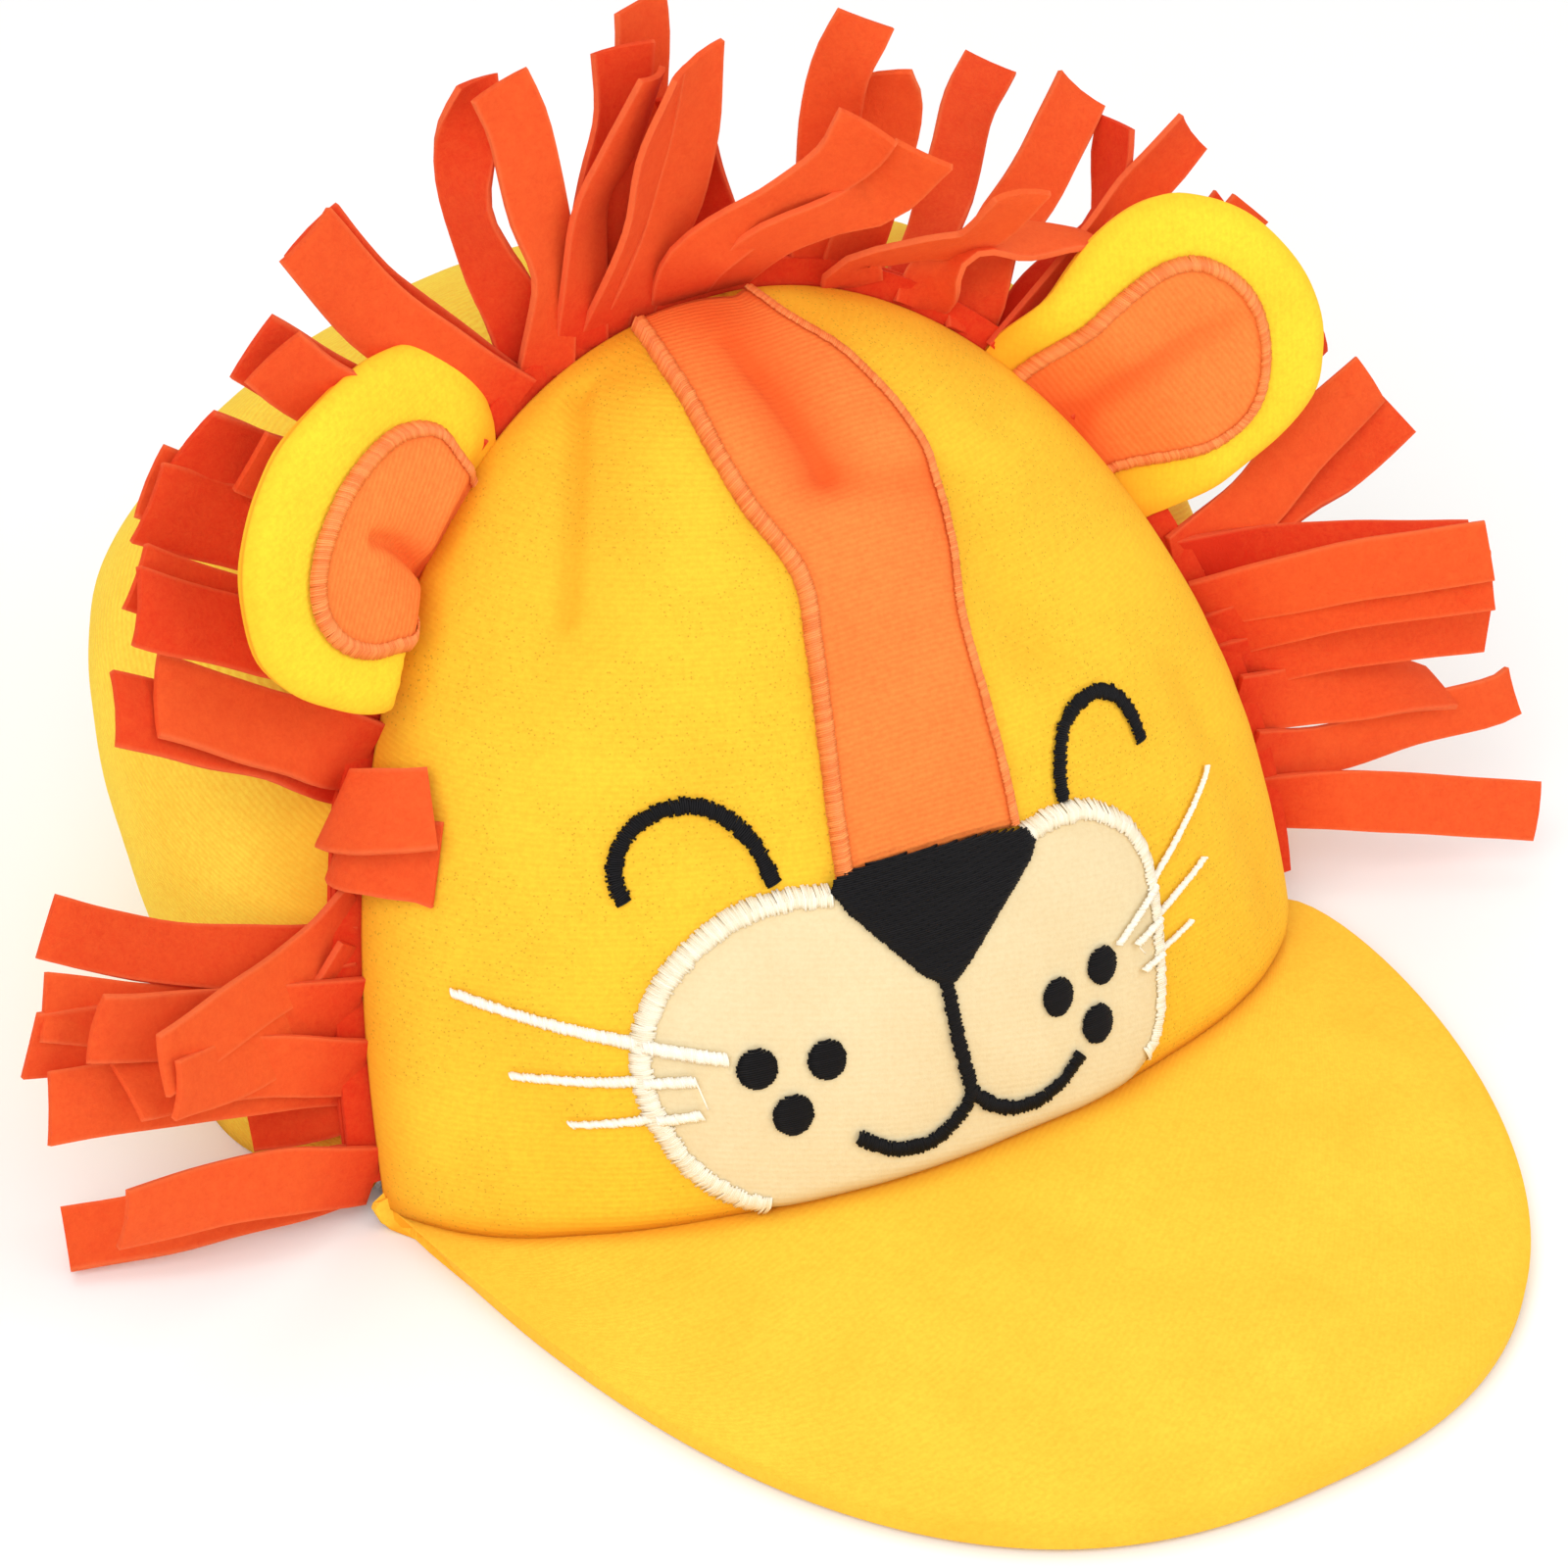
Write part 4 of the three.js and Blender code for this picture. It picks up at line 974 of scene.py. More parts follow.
def filling_routes(outline, row, stitch, height, ragged, seed, ground_lift=0):
    """Rows of stitches that fill an outline on the face, each row shifted along from the last; with a
    ground_lift they keep that height over the face, and otherwise they lie on the cloth under them."""
    chance = random.Random(seed)
    routes = []
    low, high = min(up for _, up in outline), max(up for _, up in outline)
    rows = max(int((high - low) / row), 1)
    for number in range(rows):
        up = mix(low, high, (number + 0.5) / rows)
        left, far = span_at(outline, up)
        left -= chance.uniform(0, ragged)
        far += chance.uniform(0, ragged)
        start = left
        while start < far - NARROWEST_ROW:
            shift = 0.35 + 0.3 * (number % 3) if start == left and far - left > stitch else 1
            end = min(start + stitch * shift, far)
            if far - end < SHORTEST_STITCH:
                end = far
            route = []
            for s in STITCH_SHARES:
                across = mix(start, end, s)
                spot, away = standing_on(face_across, across, up / CROWN_HEIGHT)
                ground = spot + away * ground_lift if ground_lift else cloth_under(spot, away, dressed)
                swell = height * (0.45 + 0.55 * smooth(min(across - left, far - across), 0, 1.6))
                dip = 0.07 if s in (0, 1) else 0
                route.append((ground + away * (swell - dip), away))
            routes.append(route)
            start = end
    return routes


nose_routes = filling_routes(NOSE, row=0.3, stitch=5, height=0.9, ragged=0.3, seed=7, ground_lift=PATCH_TOP)
lay_threads("nose_stitches", nose_routes, NOSE_THREAD, black_thread, ["nose_patch"])

SPOTS = {  # across, up, half width, half height
    "spot_left_outer": (-32.5, 24, 3.0, 3.0), "spot_left_inner": (-21.8, 23, 2.9, 3.0),
    "spot_left_lower": (-28.2, 15.9, 3.0, 3.1), "spot_right_inner": (18.1, 20.8, 2.7, 2.9),
    "spot_right_outer": (27.1, 22.5, 2.7, 2.8), "spot_right_lower": (24.8, 14, 2.8, 3.0),
}
for seed, (name, (across, up, wide, high)) in enumerate(SPOTS.items(), 20):
    outline = [(across + wide * math.cos(turn * math.pi / 12), up + high * math.sin(turn * math.pi / 12))
               for turn in range(24)]
    routes = filling_routes(outline, row=0.32, stitch=9, height=0.8, ragged=0.25, seed=seed)
    lay_threads(name + "_stitches", routes, THREAD, black_thread, [name])

# %% Eyes and mouth
EYES = {
    "eye_left": [(-46.3, 49.8), (-46.9, 52.2), (-46.5, 54.8), (-45.1, 57.3), (-42.9, 59.3), (-39.5, 61.1),
                 (-34.8, 61.7), (-30.7, 60.3), (-27.8, 57.6), (-26.0, 54.4), (-25.2, 51.6), (-24.7, 49.4)],
    "eye_right": [(26.0, 47.8), (26.3, 51.2), (27.6, 55), (29.7, 57.8), (33, 59.3), (37, 59.3), (40.3, 57.7),
                  (42.5, 55.1), (43.7, 52.2), (44.2, 49.6)],
}
for seed, (name, places) in enumerate(EYES.items(), 30):
    routes = satin_routes(
        face_line(places, 90), 2.4, dressed, spacing=0.34, height=0.75, ragged=0.28, seed=seed)
    lay_threads(name + "_stitches", routes, FINE_THREAD, black_thread, [name])

MOUTH = [
    [(-1, 29.5), (-0.7, 22), (0.9, 11)],
    [(1.2, 11.4), (-2.4, 7.9), (-6.5, 5.9), (-11.7, 6), (-15.1, 7.3), (-18.8, 10)],
    [(0.9, 11.2), (3.7, 8.4), (6.8, 6.6), (9.8, 5.9), (12.8, 6), (16.8, 7.3), (20.8, 10.4)],
]
mouth_routes = []
for seed, places in enumerate(MOUTH, 40):
    mouth_routes += satin_routes(
        face_line(places, 60), 2.2, dressed, spacing=0.34, height=0.8, ragged=0.24, seed=seed)
lay_threads("mouth_stitches", mouth_routes, THREAD, black_thread, ["mouth"])

# %% [markdown]
# ## Whiskers
#
# Each whisker is a narrow white satin line that starts on the muzzle and tapers as it leaves it. Those on
# the left are wider. Two short jump threads were left uncut between neighbours, as on the real cap.

# %% Whiskers
WHISKERS = {  # tip, root, width at the tip and at the root
    "whisker_left_upper": ((-71, 37.3), (-36.7, 26.2), 1.3, 1.9),
    "whisker_left_middle": ((-66, 26.1), (-41.8, 23.8), 1.0, 1.6),
    "whisker_left_lower": ((-59.6, 18.7), (-41.6, 18.6), 0.9, 1.5),
    "whisker_right_upper": ((58.1, 39.6), (30.8, 24.4), 0.7, 1.1),
    "whisker_right_middle": ((52.9, 28.4), (34.6, 22.8), 0.8, 1.2),
    "whisker_right_lower": ((48, 20.6), (35.3, 18.4), 0.7, 1.0),
}
for seed, (name, (tip, root, thin, thick)) in enumerate(WHISKERS.items(), 50):
    line = face_line([tip, (mix(tip[0], root[0], 0.5), mix(tip[1], root[1], 0.5)), root], 60)
    routes = satin_routes(
        line, lambda share: mix(thin, thick, smooth(share, 0, 0.8)), dressed, spacing=0.3, height=1.0,
        ragged=0.14, slant=0.4, seed=seed)
    lay_threads(name + "_stitches", routes, FINE_THREAD, white_thread, [name])

JUMPS = [((-41.8, 24.6), (-40.6, 19.4)), ((34.6, 22.4), (35.6, 21))]
JUMP_LIFT = 2.2
jump_routes = [[(low + away * JUMP_LIFT, away) for low, away in face_line(ends, 4)] for ends in JUMPS]
lay_threads("jump_threads", jump_routes, JUMP_THREAD, white_thread)


# %% [markdown]
# ## Mane
# The mane is a felt band caught in the seam and cut into strips about 10 mm wide, in two layers. Each strip
# of the table has its place along the seam (-1 at the left foot, 0 at the top, 1 at the right foot), its
# layer, its width and how deep in painted shade it hangs. Then come stations along it, in millimetres from
# its root along the seam, out from it and back, each with the strip's turn about its own length in degrees. A
# strip is a small grid carried along the curve through its stations. Its edges wander a little and its end
# is cut askew, as scissors leave it, and modifiers give the felt its thickness and a soft cut edge. Each
# strip's colour is also painted deeper towards its root, as shade where the strips overlap.

# %% Table of felt strips
FELT = 1.0
STRIP_COLUMNS = ("place", "layer", "wide", "tone", "stations")
STRIPS = [
    (-0.98, 0, 10, 0.1, [(9, 21, -4, 20), (14, 43, -8, 0)]),
    (-0.98, 1, 10, 0.15, [(1, 12, 0, 30), (-2, 30, 5, 50), (-4, 45, 10, 60)]),
    (-0.92, 1, 9, 0.5, [(-3, 6, 3, 20), (-5, 15, 7, 30)]),
    (-0.9, 1, 10.5, 0.2, [(7, 23, -3, 20), (14, 52, -7, 35)]),
    (-0.89, 0, 9.5, 0.1, [(9, 23, -4, 20), (12, 41, -7, 55)]),
    (-0.86, 1, 10, 0.35, [(6, 26, -1, 20), (11, 53, -3, 10)]),
    (-0.84, 0, 10, 0.2, [(4, 22, -3, 25), (11, 46, -7, 15)]),
    (-0.83, 1, 10, 0.15, [(0, 24, -1, 20), (9, 51, -3, 35)]),
    (-0.8, 1, 9.5, 0.35, [(1, 12, 0, 35), (4, 30, 1, 45), (11, 49, 2, 20)]),
    (-0.79, 0, 9.5, 0, [(-9, 6, -3, 15), (-10, 21, -11, 20), (-7, 36, -19, 5)]),
    (-0.75, 0, 9.5, 0.1, [(-8, 8, -4, 20), (-10, 23, -12, 20), (-12, 38, -20, 20)]),
    (-0.65, 1, 11, 0.5, [(5, 19, -1, 40), (10, 45, -3, 45)]),
    (-0.63, 0, 12, 0.15, [(3, 16, -1, 40), (7, 39, -1, 40)]),
    (-0.55, 0, 11, 0.6, [(1, 27, -2, 40), (2, 46, -4, 30)]),
    (-0.55, 1, 10, 0.5, [(2, 26, 1, 35), (4, 45, 0, 30)]),
    (-0.46, 0, 12, 0.5, [(-5, 25, 4, 20), (-8, 43, 5, 15)]),
    (-0.46, 1, 11, 0.4, [(-4, 25, 6, 20), (-6, 43, 7, 20)]),
    (-0.41, 0, 10, 0.3, [(-4, 15, 3, 10), (-6, 33, 1.5, -5)]),
    (-0.41, 1, 12, 0.6, [(-7, 26, 3.5, 15), (-9, 41, 3.5, -5)]),
    (-0.34, 0, 10.5, 0.3, [(-6, 29, -1, -5), (-7, 41, -1, 0)]),
    (-0.34, 1, 11, 0.5, [(-6, 28, 1, 5), (-8, 42, 1, -5)]),
    (-0.26, 0, 11, 0.15, [(-6, 19, 0, 0), (-9, 32, 1, 10), (-10, 47, 1, 20)]),
    (-0.26, 1, 11, 0.6, [(-5, 19, 2, 0), (-8, 31, 2, 10), (-9, 46, 2, 15)]),
    (-0.22, 1, 9, 0.6, [(2, 11, 1, 0), (3, 22, 3, -50), (5, 33, 4, -55), (14, 46, 6, 30)]),
    (-0.21, 0, 9.5, 0.1, [(8, 15, 0, 25), (10, 27, 0, 5), (13, 40, 1, -5), (13, 48, 1, 5)]),
    (-0.16, 0, 9, 0.35, [(7, 21, -2, 25), (14, 30, -4, 20), (22, 41, -6, 35)]),
    (-0.15, 1, 10, 0.6, [(10, 22, 0, 10), (16, 33, 0, 10), (19, 43, 0, -5)]),
    (-0.13, 0, 9, 0.3, [(8, 18, -4, 30), (13, 31, -7, 20), (19, 43, -9, 30)]),
    (-0.1, 0, 9.5, 0.1, [(4, 9, -2, 15), (9, 17, -3, 0), (13, 29, -5, 5), (15, 44, -8, 20)]),
    (-0.08, 1, 10, 0.3, [(5, 26, 3, 10), (8, 40, 4, 12), (9, 47, 5, 18)]),
    (-0.04, 0, 10, 0.05, [(1, 11, -7, -25), (12, 20, -13, -15), (19, 27, -18, -25), (21, 34, -22, -45)]),
    (0, 0, 10, 0.05, [(2, 12, -10, -15), (12, 17, -15, -20), (18, 19, -16, -45), (20, 29, -24, -40)]),
    (0.02, 1, 9.5, 0.75, [(-5, 15, 2, -40), (-10, 31, 1, -60)]),
    (0.14, 1, 9, 0.2, [(-10, 24, -6, -10), (-14, 37, -9, -45), (-14, 46, -11, -20)]),
    (0.18, 0, 10, 0, [(-3, 5, -3, 15), (5, 10, -6, 15), (12, 14, -9, 10), (11, 25, -16, 10)]),
    (0.18, 1, 10, 0.15, [(-8, 27, -6, -10), (-15, 36, -8, -25)]),
    (0.26, 1, 9, 0.35, [(6, 9, 8, -65), (10, 19, 16, -25), (13, 27, 23, -20), (18, 34, 29, -35)]),
    (0.27, 0, 9.5, 0, [(0, 11, -2, -110), (8, 16, -3, -90), (15, 19, -3, -100), (21, 21, -4, -110)]),
    (0.34, 0, 9.5, 0.1, [(-1, 13, 6, -70), (3, 22, 10, -30), (6, 33, 15, -30), (8, 40, 19, -25)]),
    (0.39, 0, 9, 0.35, [(2, 14, 3, 20), (4, 23, 5, 20), (7, 32, 7, 0), (9, 39, 8, -5), (11, 46, 10, 0)]),
    (0.39, 1, 9, 0.6, [(6, 24, 7, -110), (6, 30, 9, -110), (4, 35, 11, -95), (1, 40, 12, -100)]),
    (0.49, 1, 9, 0.5, [(6, 22, 8, -10), (6, 43, 11, -10)]),
    (0.51, 0, 9, 0.2, [(1, 24, 7, 5), (-1, 45, 8, -5)]),
    (0.58, 1, 9, 0.5, [(7, 23, 2, -10), (9, 43, 4, 0)]),
    (0.67, 0, 10, 0.1, [(2, 16, 1, -40), (-1, 30, 3, -35), (-3, 45, 4, -15)]),
    (0.68, 1, 10, 0.35, [(4, 23, 1, -75), (5, 35, 2, -50), (3, 47, 2, -35)]),
    (0.68, 1, 10, 0.6, [(11, 25, -9, -60), (21, 44, -16, -60)]),
    (0.72, 0, 10.5, 0.05, [(0, 21, -12, -20), (3, 42, -23, -20)]),
    (0.76, 1, 10, 0.2, [(-2, 19, -10, -20), (1, 42, -21, -30)]),
    (0.79, 1, 10, 0.35, [(3, 21, -6, -20), (9, 44, -13, -20)]),
    (0.82, 0, 10.5, 0.15, [(6, 16, -2, -30), (10, 28, -4, -60), (15, 37, -5, -85)]),
    (0.87, 0, 8.5, 0.1, [(6, 14, -1, -15), (7, 31, -3, -15), (9, 45, -5, -20), (9, 50, -5, -30)]),
    (0.92, 1, 10, 0.1, [(4, 20, -8, -35), (11, 45, -18, -40)]),
    (-0.7, 0, 12.5, 0.1, [(0.3, 3.5, -1.5, 0), (1, 4, -5, 0), (2.5, 0.5, -9, 0), (3.7, -6, -13.4, 0)]),
    (-0.672, 0, 12.5, 0, [(0.5, 5, -1.5, 0), (2, 6.6, -5, 0), (5, 3, -10, 0), (7.5, -3, -13.2, 0)]),
]


SEAM_STEP = 0.004


def seam_frame(place):
    """Point of the mane seam and its directions along, back and out."""
    def point_at(at):
        up = up_of((1 - abs(at)) * RIGHT_ANGLE)
        half_width, set_back = seam_at(up, at)
        return Vector((math.copysign(half_width, at), set_back, CROWN_HEIGHT * up))

    along = point_at(place + SEAM_STEP) - point_at(place - SEAM_STEP)
    along.y = 0
    along.normalize()
    backward = Vector((0, 1, 0))
    return point_at(place), along, backward, along.cross(backward)


print(len(STRIPS), "strips")


# %% Strips of felt
STRIP_STEPS = 16
STRIP_COLUMNS_ACROSS = 6
STRIP_ROOT = 0.5  # a strip starts this far out of the seam
WANDER, WAVE, ASKEW = 0.06, 0.7, 1.6  # of a strip's width, its faces and its cut end
HEADER_FELT = {"length": 0.985, "below": -1.5, "above": 4.2}
CROWN_CLEARANCE = 1.2  # felt that would lie inside the crown is pressed out this far from it
PRESSED_WITHIN = 8  # if the crown is as near as this


def layer_depth(layer):
    """How far behind the face's edge a layer of felt stands in the seam."""
    return GAP + HEADER * (0.25 + 0.5 * layer)


def pressed_to_crown(point):
    """A point that lies inside the crown, pressed out to its surface if that is near."""
    spot = placed(point)
    place, normal, _, distance = min(
        (surface.find_nearest(spot) for surface in (face_surface, back_surface)), key=lambda found: found[3])
    if distance < PRESSED_WITHIN * MM and (spot - place).dot(normal) < CROWN_CLEARANCE * MM:
        return (place + normal * (CROWN_CLEARANCE * MM)) / MM - SHIFT
    return point


def felt_strip(bm, layers, strip, chance):
    """Carry one strip's grid along the curve through its stations."""
    strip = dict(zip(STRIP_COLUMNS, strip))
    root, along, backward, out = seam_frame(strip["place"])
    root = root + out * STRIP_ROOT + backward * layer_depth(strip["layer"])
    stations = [(0, 0, 0, 0)] + [(*spot, math.radians(turn)) for *spot, turn in strip["stations"]]
    curve = curve_through(stations, STRIP_STEPS)
    centres = [root + along * spot[0] + out * spot[1] + backward * spot[2] for spot in curve]
    long = reaches(centres)[-1]
    frames, width_way = [], along
    for step in range(STRIP_STEPS + 1):
        forward = (centres[min(step + 1, STRIP_STEPS)] - centres[max(step - 1, 0)]).normalized()
        width_way = (width_way - forward * width_way.dot(forward)).normalized()
        turned = Matrix.Rotation(curve[step][3], 3, forward) @ width_way
        frames.append((forward, turned, forward.cross(turned)))

    made = bmesh.ops.create_grid(
        bm, x_segments=STRIP_COLUMNS_ACROSS, y_segments=STRIP_STEPS, size=0.5)["verts"]
    askew, wander, curl = chance.uniform(-ASKEW, ASKEW), chance.uniform(0, 50), chance.uniform(-1, 1)
    tone = max(strip["tone"] + chance.uniform(-0.06, 0.1), 0)
    for vert in made:
        across, share = math.copysign(abs(vert.co.x * 2) ** 0.5 / 2, vert.co.x), vert.co.y + 0.5
        step = round(share * STRIP_STEPS)
        forward, turned, through = frames[step]
        edge = 1 + WANDER * noise.noise(Vector((wander + math.copysign(9, across), share * 4, 0)))
        wave = WAVE * noise.noise(Vector((wander, share * 2.2, 3))) * smooth(share, 0, 0.3)
        cup = curl * (across * 2) ** 2 * smooth(share, 0.2, 1)
        spot = centres[step] + turned * (across * strip["wide"] * edge) + through * (wave + cup)
        spot += forward * (askew * across * smooth(share, 0.7, 1))
        if share > 0.25:
            spot = pressed_to_crown(spot)
        vert.co = placed(spot)
        # Painted light: the rim mask gives the cut edges a painted highlight; the strip's painted shade with
        # a little random tone, and painted shade towards its root, go into the shade attribute
        vert[layers["rim"]] = abs(across) * 2
        vert[layers["shade"]] = min(tone + 0.45 * (1 - smooth(share, 0, 0.35)), 1)
        for loop in vert.link_loops:
            loop[layers["uv"]].uv = (across * strip["wide"] + wander * 3, share * long)


def felt_header(bm, layers, layer):
    """One layer of the uncut felt that stands in the seam."""
    made = bmesh.ops.create_grid(bm, x_segments=120, y_segments=3, size=0.5)["verts"]
    for vert in made:
        place, share = vert.co.x * 2 * HEADER_FELT["length"], vert.co.y + 0.5
        point, _, backward, out = seam_frame(place)
        ripple = 0.3 * noise.noise(Vector((place * 14, layer * 5, 0))) * share
        for loop in vert.link_loops:
            loop[layers["uv"]].uv = (place * 150, share * 5)
        height = mix(HEADER_FELT["below"], HEADER_FELT["above"], share)
        vert.co = placed(point + out * height + backward * (layer_depth(layer) + ripple))
        # Painted shade: the felt standing in the seam is coloured deeper throughout
        vert[layers["shade"]] = 0.7


# %% Cut the mane
mane_bm = bmesh.new()
mane_layers = {
    "uv": mane_bm.loops.layers.uv.new("cloth"),
    "shade": mane_bm.verts.layers.float.new("shade"),
    "rim": mane_bm.verts.layers.float.new("rim"),
}
scissors = random.Random(11)
for layer in (0, 1):
    felt_header(mane_bm, mane_layers, layer)
for strip in STRIPS:
    felt_strip(mane_bm, mane_layers, strip, scissors)
finish_piece(
    "mane_felt", mane_bm, mane_felt, ["mane"], wall=FELT, offset=0, bevel=0.2)

# %% [markdown]
# ## Ears
#
# An ear is two layers of knit cloth sewn together, turned and lightly padded, so it is full towards its
# edge and dished in the middle. It starts as a sphere, because a stuffed disc is a flattened one. It is
# pinched together at its root, which draws a crease down its front. The root is caught in the mane seam, so
# the last centimetre of the ear is drawn in between the face's edge and the felt, and stops just below it.

# %% Ear shape
EAR = {"thickness": 9, "dish": 2.5, "plump": 2.6, "lumps": 0.35}
EARS = {
    "left": {
        "place": -0.445, "turn": 32, "tip": 2, "roll": 0, "seat": 5.5, "sink": 4, "root": 6,
        "middle": (3, 20),
        "outline": [
            (11, -5), (20, -1), (27, 3.6), (31.6, 9), (32.6, 15), (30.6, 22.2), (26.4, 28.1), (21.5, 32.4),
            (14, 37.2), (6.7, 40.8), (-0.1, 42.3), (-7.2, 42.4), (-13.6, 41), (-19.3, 37.7), (-23.4, 33.4),
            (-25.2, 26.6), (-24.7, 19.2), (-23.1, 11.9), (-19.7, 5.8), (-13, -1), (0, -5),
        ],
        "patch_middle": (1, 16),
        "patch": [
            (9, -5), (15, 4), (17.7, 10.2), (19.4, 14.7), (18.3, 19), (15.1, 23.3), (9.5, 27), (3.5, 29.4),
            (-2.5, 30.4), (-8.1, 30.2), (-12.3, 28.8), (-14.9, 25.8), (-15.9, 21.5), (-14.8, 16), (-12, 11.2),
            (-9.8, 6), (-9, 0), (-8, -5), (0, -6),
        ],
        "crease": [(0.5, 21), (1.4, 17), (1.0, 11), (-1.0, 5), (-2.4, 0)], "depth": 6.4, "spread": (1.5, 3.4),
    },
    "right": {
        "place": 0.5, "turn": -17, "tip": 0, "roll": 2, "seat": 3, "sink": 2.5, "root": 14,
        "middle": (-0.8, 21.8),
        "outline": [
            (-18, -9), (-20, -3), (-22.2, 4), (-23.6, 12.3), (-25.5, 21.2), (-25.4, 29.4), (-22.6, 36.5),
            (-17.8, 41), (-11.9, 44.3), (-5.8, 45.9), (1.2, 46.4), (7.8, 45.6), (13.9, 43.2), (18.9, 39.4),
            (21.9, 35.3), (23.2, 28.3), (23, 19.8), (21.7, 10.9), (19, 2.4), (14.3, -5.4), (0.6, -8.3),
            (-11.6, -9.2),
        ],
        "patch_middle": (-1.6, 19.8),
        "patch": [
            (-12.6, -5.2), (-13.8, 3.4), (-14.9, 10.5), (-15.3, 18.9), (-14.8, 26.5), (-12.3, 32),
            (-7.6, 35.1), (-1.6, 36.3), (4.3, 35.2), (9.7, 32.1), (13.8, 27.9), (15.3, 23.5),
            (14.7, 18.3), (12.5, 12.4),
            (10.4, 7), (7.8, 0.6), (5.7, -5.3), (0.5, -7.3), (-7.3, -7.2),
        ],
        "crease": [(0.3, 30.8), (-1.4, 24.8), (-2.5, 17.8), (-3.1, 10.3), (-1.7, -0.3)], "depth": 2.8,
        "spread": (2.0, 5.0),
    },
}


def ear_matrix(ear):
    """From an ear's own axes (across, back, up) to the drawing."""
    point, along, backward, out = seam_frame(ear["place"])
    lean = Matrix.Identity(4)
    for angle, axis in (("turn", "Z"), ("tip", "X"), ("roll", "Y")):
        lean = lean @ Matrix.Rotation(math.radians(ear[angle]), 4, axis)
    seat = point - backward * ear["seat"] - out * ear["sink"]
    return Matrix.Translation(seat) @ Matrix((along, backward, out)).transposed().to_4x4() @ lean


EAR_TO_CROWN = {side: ear_matrix(ear) for side, ear in EARS.items()}
SEAM_PLACES = [index / 300 for index in range(-297, 298)]
SEAM_TREE = KDTree(len(SEAM_PLACES))
for index, seam_place in enumerate(SEAM_PLACES):
    spot = seam_frame(seam_place)[0]
    SEAM_TREE.insert((spot.x, 0, spot.z), index)
SEAM_TREE.balance()
ROOT = {"below": 2.2, "front": -0.1, "behind": 0.5, "dip": 0.3}


def caught_in_seam(side, point, face, dip, lift=0.0):
    """Draw the part of an ear that lies near the mane seam into it; face is -1 in front and 1 behind, and
    dip is how far the crease sets it back."""
    _, index, _ = SEAM_TREE.find((point.x, 0, point.z))
    seam, _, _, out = seam_frame(SEAM_PLACES[index])
    above = (point - seam).dot(out)
    root = 1 - smooth(above, 0, EARS[side]["root"])
    level = seam.y + (ROOT["front"] - lift + dip if face < 0 else ROOT["behind"])
    caught = point + out * max(-ROOT["below"] - above, 0)
    caught.y = mix(point.y, level, root)
    return caught


def reach_round(outline, middle):
    """How far an outline lies from its middle, as a function of the angle round it."""
    edge = [spot - Vector(middle) for spot in curve_through(outline, 144, closed=True)]
    table = sorted((math.atan2(spot.y, spot.x), spot.length) for spot in edge)

    def reach(angle):
        angle = math.atan2(math.sin(angle), math.cos(angle))
        after = next((index for index, (turn, _) in enumerate(table) if turn > angle), 0)
        (low_turn, low), (high_turn, high) = table[after - 1], table[after]
        span = (high_turn - low_turn) % (2 * math.pi) or 1
        return mix(low, high, ((angle - low_turn) % (2 * math.pi)) / span)
    return reach


EAR_REACH = {side: reach_round(ear["outline"], ear["middle"]) for side, ear in EARS.items()}
EAR_CREASES = {side: curve_through(ear["crease"], 40) for side, ear in EARS.items()}
print("left ear reaches", round(EAR_REACH["left"](RIGHT_ANGLE), 1), "mm above its middle")


# %% Surface of an ear
def ear_pinch(side, across, up):
    """How deep the pinched crease is: a dimple at its head, widest and deepest at the root."""
    ear = EARS[side]
    crease = EAR_CREASES[side]
    spot = Vector((across, up))
    nearest = min(range(len(crease)), key=lambda index: (crease[index] - spot).length_squared)
    share = nearest / (len(crease) - 1)
    away = (crease[nearest] - spot).length
    narrow, wide = ear["spread"]
    valley = math.exp(-(away / mix(narrow, wide * 0.6, share)) ** 2) * mix(0.45, 1, share)
    cup = math.exp(-(away / (wide * 2.2)) ** 2) * share * 0.5
    return ear["depth"] * (valley * 0.7 + cup)


def ear_local(side, across, up, face, lift=0.0):
    """A place on the ear by its distances across and up; face is -1 in front and 1 behind."""
    ear = EARS[side]
    middle = Vector(ear["middle"])
    spot = Vector((across, up)) - middle
    share = min(spot.length / EAR_REACH[side](math.atan2(spot.y, spot.x)), 1)
    plump = EAR["thickness"] / 2 * max(1 - share ** EAR["plump"], 0) ** 0.5
    pinch = ear_pinch(side, across, up) * (1 if face < 0 else 0.5) * smooth(1 - share, 0, 0.12)
    lump = EAR["lumps"] * noise.noise(Vector((across / 9, up / 9, face * 3)))
    return Vector((across, face * (plump + lift) + EAR["dish"] * (1 - share ** 2) + pinch + lump, up))


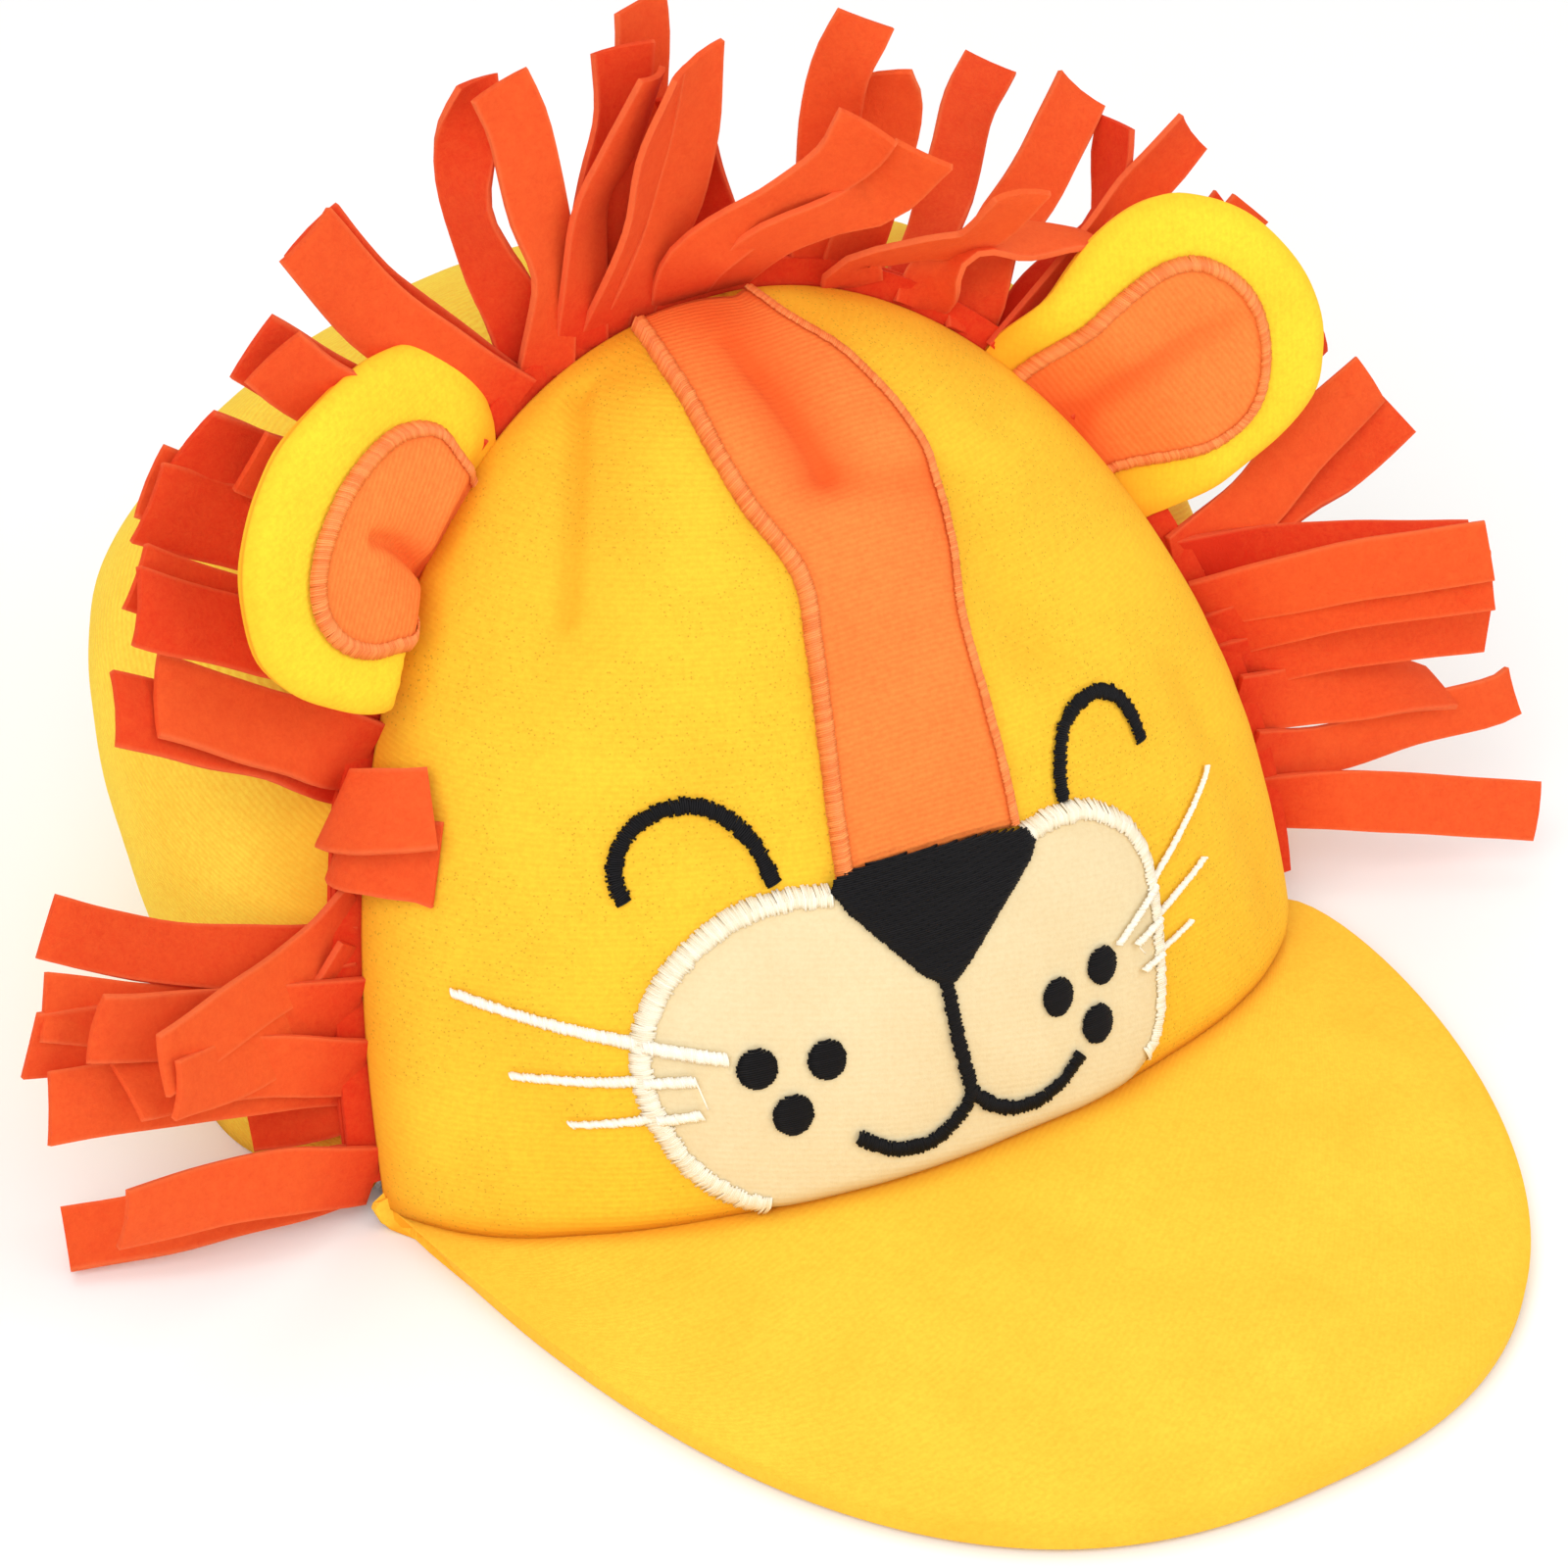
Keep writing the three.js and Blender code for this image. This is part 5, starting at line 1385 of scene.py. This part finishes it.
# %% Ears
EAR_SEAM = {"level": 0.4, "width": 0.55, "depth": 0.55, "shade": 0.55}
for side, ear in EARS.items():
    ear_bm = bmesh.new()
    bmesh.ops.create_uvsphere(ear_bm, u_segments=120, v_segments=64, radius=1)
    ear_cloth = ear_bm.loops.layers.uv.new("cloth")
    ear_shade = ear_bm.verts.layers.float.new("shade")
    middle = Vector(ear["middle"])
    for vert in ear_bm.verts:
        angle, share = math.atan2(vert.co.y, vert.co.x), min(math.hypot(vert.co.x, vert.co.y), 1)
        facing = -1 if vert.co.z > 0 else 1
        flat = middle + Vector((math.cos(angle), math.sin(angle))) * (share * EAR_REACH[side](angle))
        spot = ear_local(side, flat.x, flat.y, facing)
        level = spot.y - EAR["dish"] * (1 - share ** 2)
        ridge = math.exp(-((level - EAR_SEAM["level"]) / EAR_SEAM["width"]) ** 2) * smooth(share, 0.8, 0.95)
        spot -= Vector((math.cos(angle), 0, math.sin(angle))) * (EAR_SEAM["depth"] * ridge)
        # Painted shade: deeper colour along the ear's seam ridge, at its root, round its rim and in the
        # pinched crease
        deep = min(ear_pinch(side, flat.x, flat.y) / ear["depth"], 1) if facing < 0 else 0
        root = 1 - smooth(spot.z, 1, 12)
        rim = smooth(share, 0.88, 1)
        vert[ear_shade] = min(EAR_SEAM["shade"] * ridge + 0.7 * root + 0.35 * rim + 0.4 * deep, 1)
        for loop in vert.link_loops:
            loop[ear_cloth].uv = (spot.x, spot.z)
        dip = ROOT["dip"] * ear_pinch(side, flat.x, flat.y)
        vert.co = placed(caught_in_seam(side, EAR_TO_CROWN[side] @ spot, facing, dip))
    bmesh.ops.recalc_face_normals(ear_bm, faces=ear_bm.faces)
    ear_piece = finish_piece(f"ear_{side}_cloth", ear_bm, knit["yellow_ear"], [f"ear_{side}"])

# %% [markdown]
# ## Inner ears
#
# The inner ear is an orange appliqué that runs down into the seam, so its satin border is open at the root.
# It lies on the ear's front and follows the pinched crease.

# %% Inner ears
BORDER_END = -3.6  # the border stops this far up the ear, below the seam
PATCH_STEPS = 96


def ear_patch_point(side, around, inward, lift=PATCH_TOP):
    """A place on the inner ear, round its outline and in from its edge, in the ear's own axes."""
    flat = EAR_PATCH_EDGES[side][round(around * PATCH_STEPS)].lerp(Vector(EARS[side]["patch_middle"]), inward)
    return ear_local(side, flat.x, flat.y, -1, lift)


def inner_ear_point(side, around, inward, lift=PATCH_TOP):
    """The same place in the drawing, with the ear's root drawn into the seam."""
    spot = ear_patch_point(side, around, inward, lift)
    dip = ROOT["dip"] * ear_pinch(side, spot.x, spot.z)
    return caught_in_seam(side, EAR_TO_CROWN[side] @ spot, -1, dip, lift)


# Painted shade: deeper colour round the patch's rim, in the pinched crease and towards the root
def ear_patch_shade(side, around, inward):
    spot = ear_patch_point(side, around, inward)
    deep = min(ear_pinch(side, spot.x, spot.z) / EARS[side]["depth"], 1)
    return min(0.4 * (1 - smooth(inward, 0, 0.12)) + 0.9 * deep + 0.5 * (1 - smooth(spot.z, 2, 8)), 1)


EAR_PATCH_EDGES = {side: curve_through(ear["patch"], PATCH_STEPS, closed=True) for side, ear in EARS.items()}
for side, to_crown in EAR_TO_CROWN.items():
    patch_bm = shaped_sheet(
        PATCH_STEPS, 24,
        lambda around, inward: inner_ear_point(side, around, inward),
        lambda around, inward: ear_patch_shade(side, around, inward))
    to_ear = to_crown.inverted()
    map_flat(patch_bm, lambda place: (to_ear @ (place / MM - SHIFT)).xz)
    bmesh.ops.recalc_face_normals(patch_bm, faces=patch_bm.faces)
    front = -(to_crown.to_3x3() @ Vector((0, 1, 0)))
    if sum((cell.normal for cell in patch_bm.faces), Vector()).dot(front) < 0:
        bmesh.ops.reverse_faces(patch_bm, faces=patch_bm.faces)
    patch_surface = BVHTree.FromBMesh(patch_bm)
    finish_piece(
        f"inner_ear_{side}", patch_bm, knit["orange"], [f"ear_patch_{side}"], wall=0.8)
    line = []
    for step, edge in enumerate(EAR_PATCH_EDGES[side]):
        if edge.y > BORDER_END:
            low = inner_ear_point(side, step / PATCH_STEPS, 0, 0.2)
            high = inner_ear_point(side, step / PATCH_STEPS, 0, PROBE)
            line.append((low, (high - low).normalized()))
    routes = satin_routes(line, 2.1, [patch_surface], ragged=0.1, slant=0.3, seed=60)
    lay_threads(f"inner_ear_{side}_border", routes, THREAD, orange_thread)

# %% [markdown]
# ## Studio
#
# The cap stands on a plain pale floor under soft white light, bright and even as in the photograph: a broad
# light from the camera's side, a weaker one from the other, and a pale sky.

# %% Floor and lights
FLOOR_HALF_SIZE = 3  # metres, as are the lights' places and sizes
SKY_STRENGTH = 0.62
LIT = Vector((0, 0, 0.05))  # all lights point here
floor_bm = bmesh.new()
bmesh.ops.create_grid(floor_bm, x_segments=1, y_segments=1, size=FLOOR_HALF_SIZE)
floor_paint, _, floor_shader = new_material("matt_paint_white", roughness=0.9)
floor_shader.inputs["Base Color"].default_value = linear("#fbfbfa")
floor_mesh = mesh_of("studio_floor", floor_bm)
floor_mesh.materials.append(floor_paint)
new_object("studio_floor", floor_mesh)

world = bpy.data.worlds.new("studio_sky")
bpy.context.scene.world = world
world.use_nodes = True
sky = world.node_tree.nodes["Background"]
sky.inputs["Color"].default_value = linear("#ffffff")
sky.inputs["Strength"].default_value = SKY_STRENGTH

LIGHTS = {
    "key_light": {"at": (-0.62, -0.55, 0.75), "size": 0.8, "watts": 6.2},
    "fill_light": {"at": (0.7, -0.6, 0.55), "size": 0.8, "watts": 3.0},
    "top_light": {"at": (0.1, 0.45, 0.95), "size": 0.9, "watts": 2.5},
}
for name, light in LIGHTS.items():
    lamp = bpy.data.lights.new(name, "AREA")
    lamp.energy = light["watts"]
    lamp.size = light["size"]
    stand_in = new_object(name, lamp)
    stand_in.location = light["at"]
    stand_in.rotation_euler = (LIT - Vector(light["at"])).to_track_quat("-Z", "Y").to_euler()
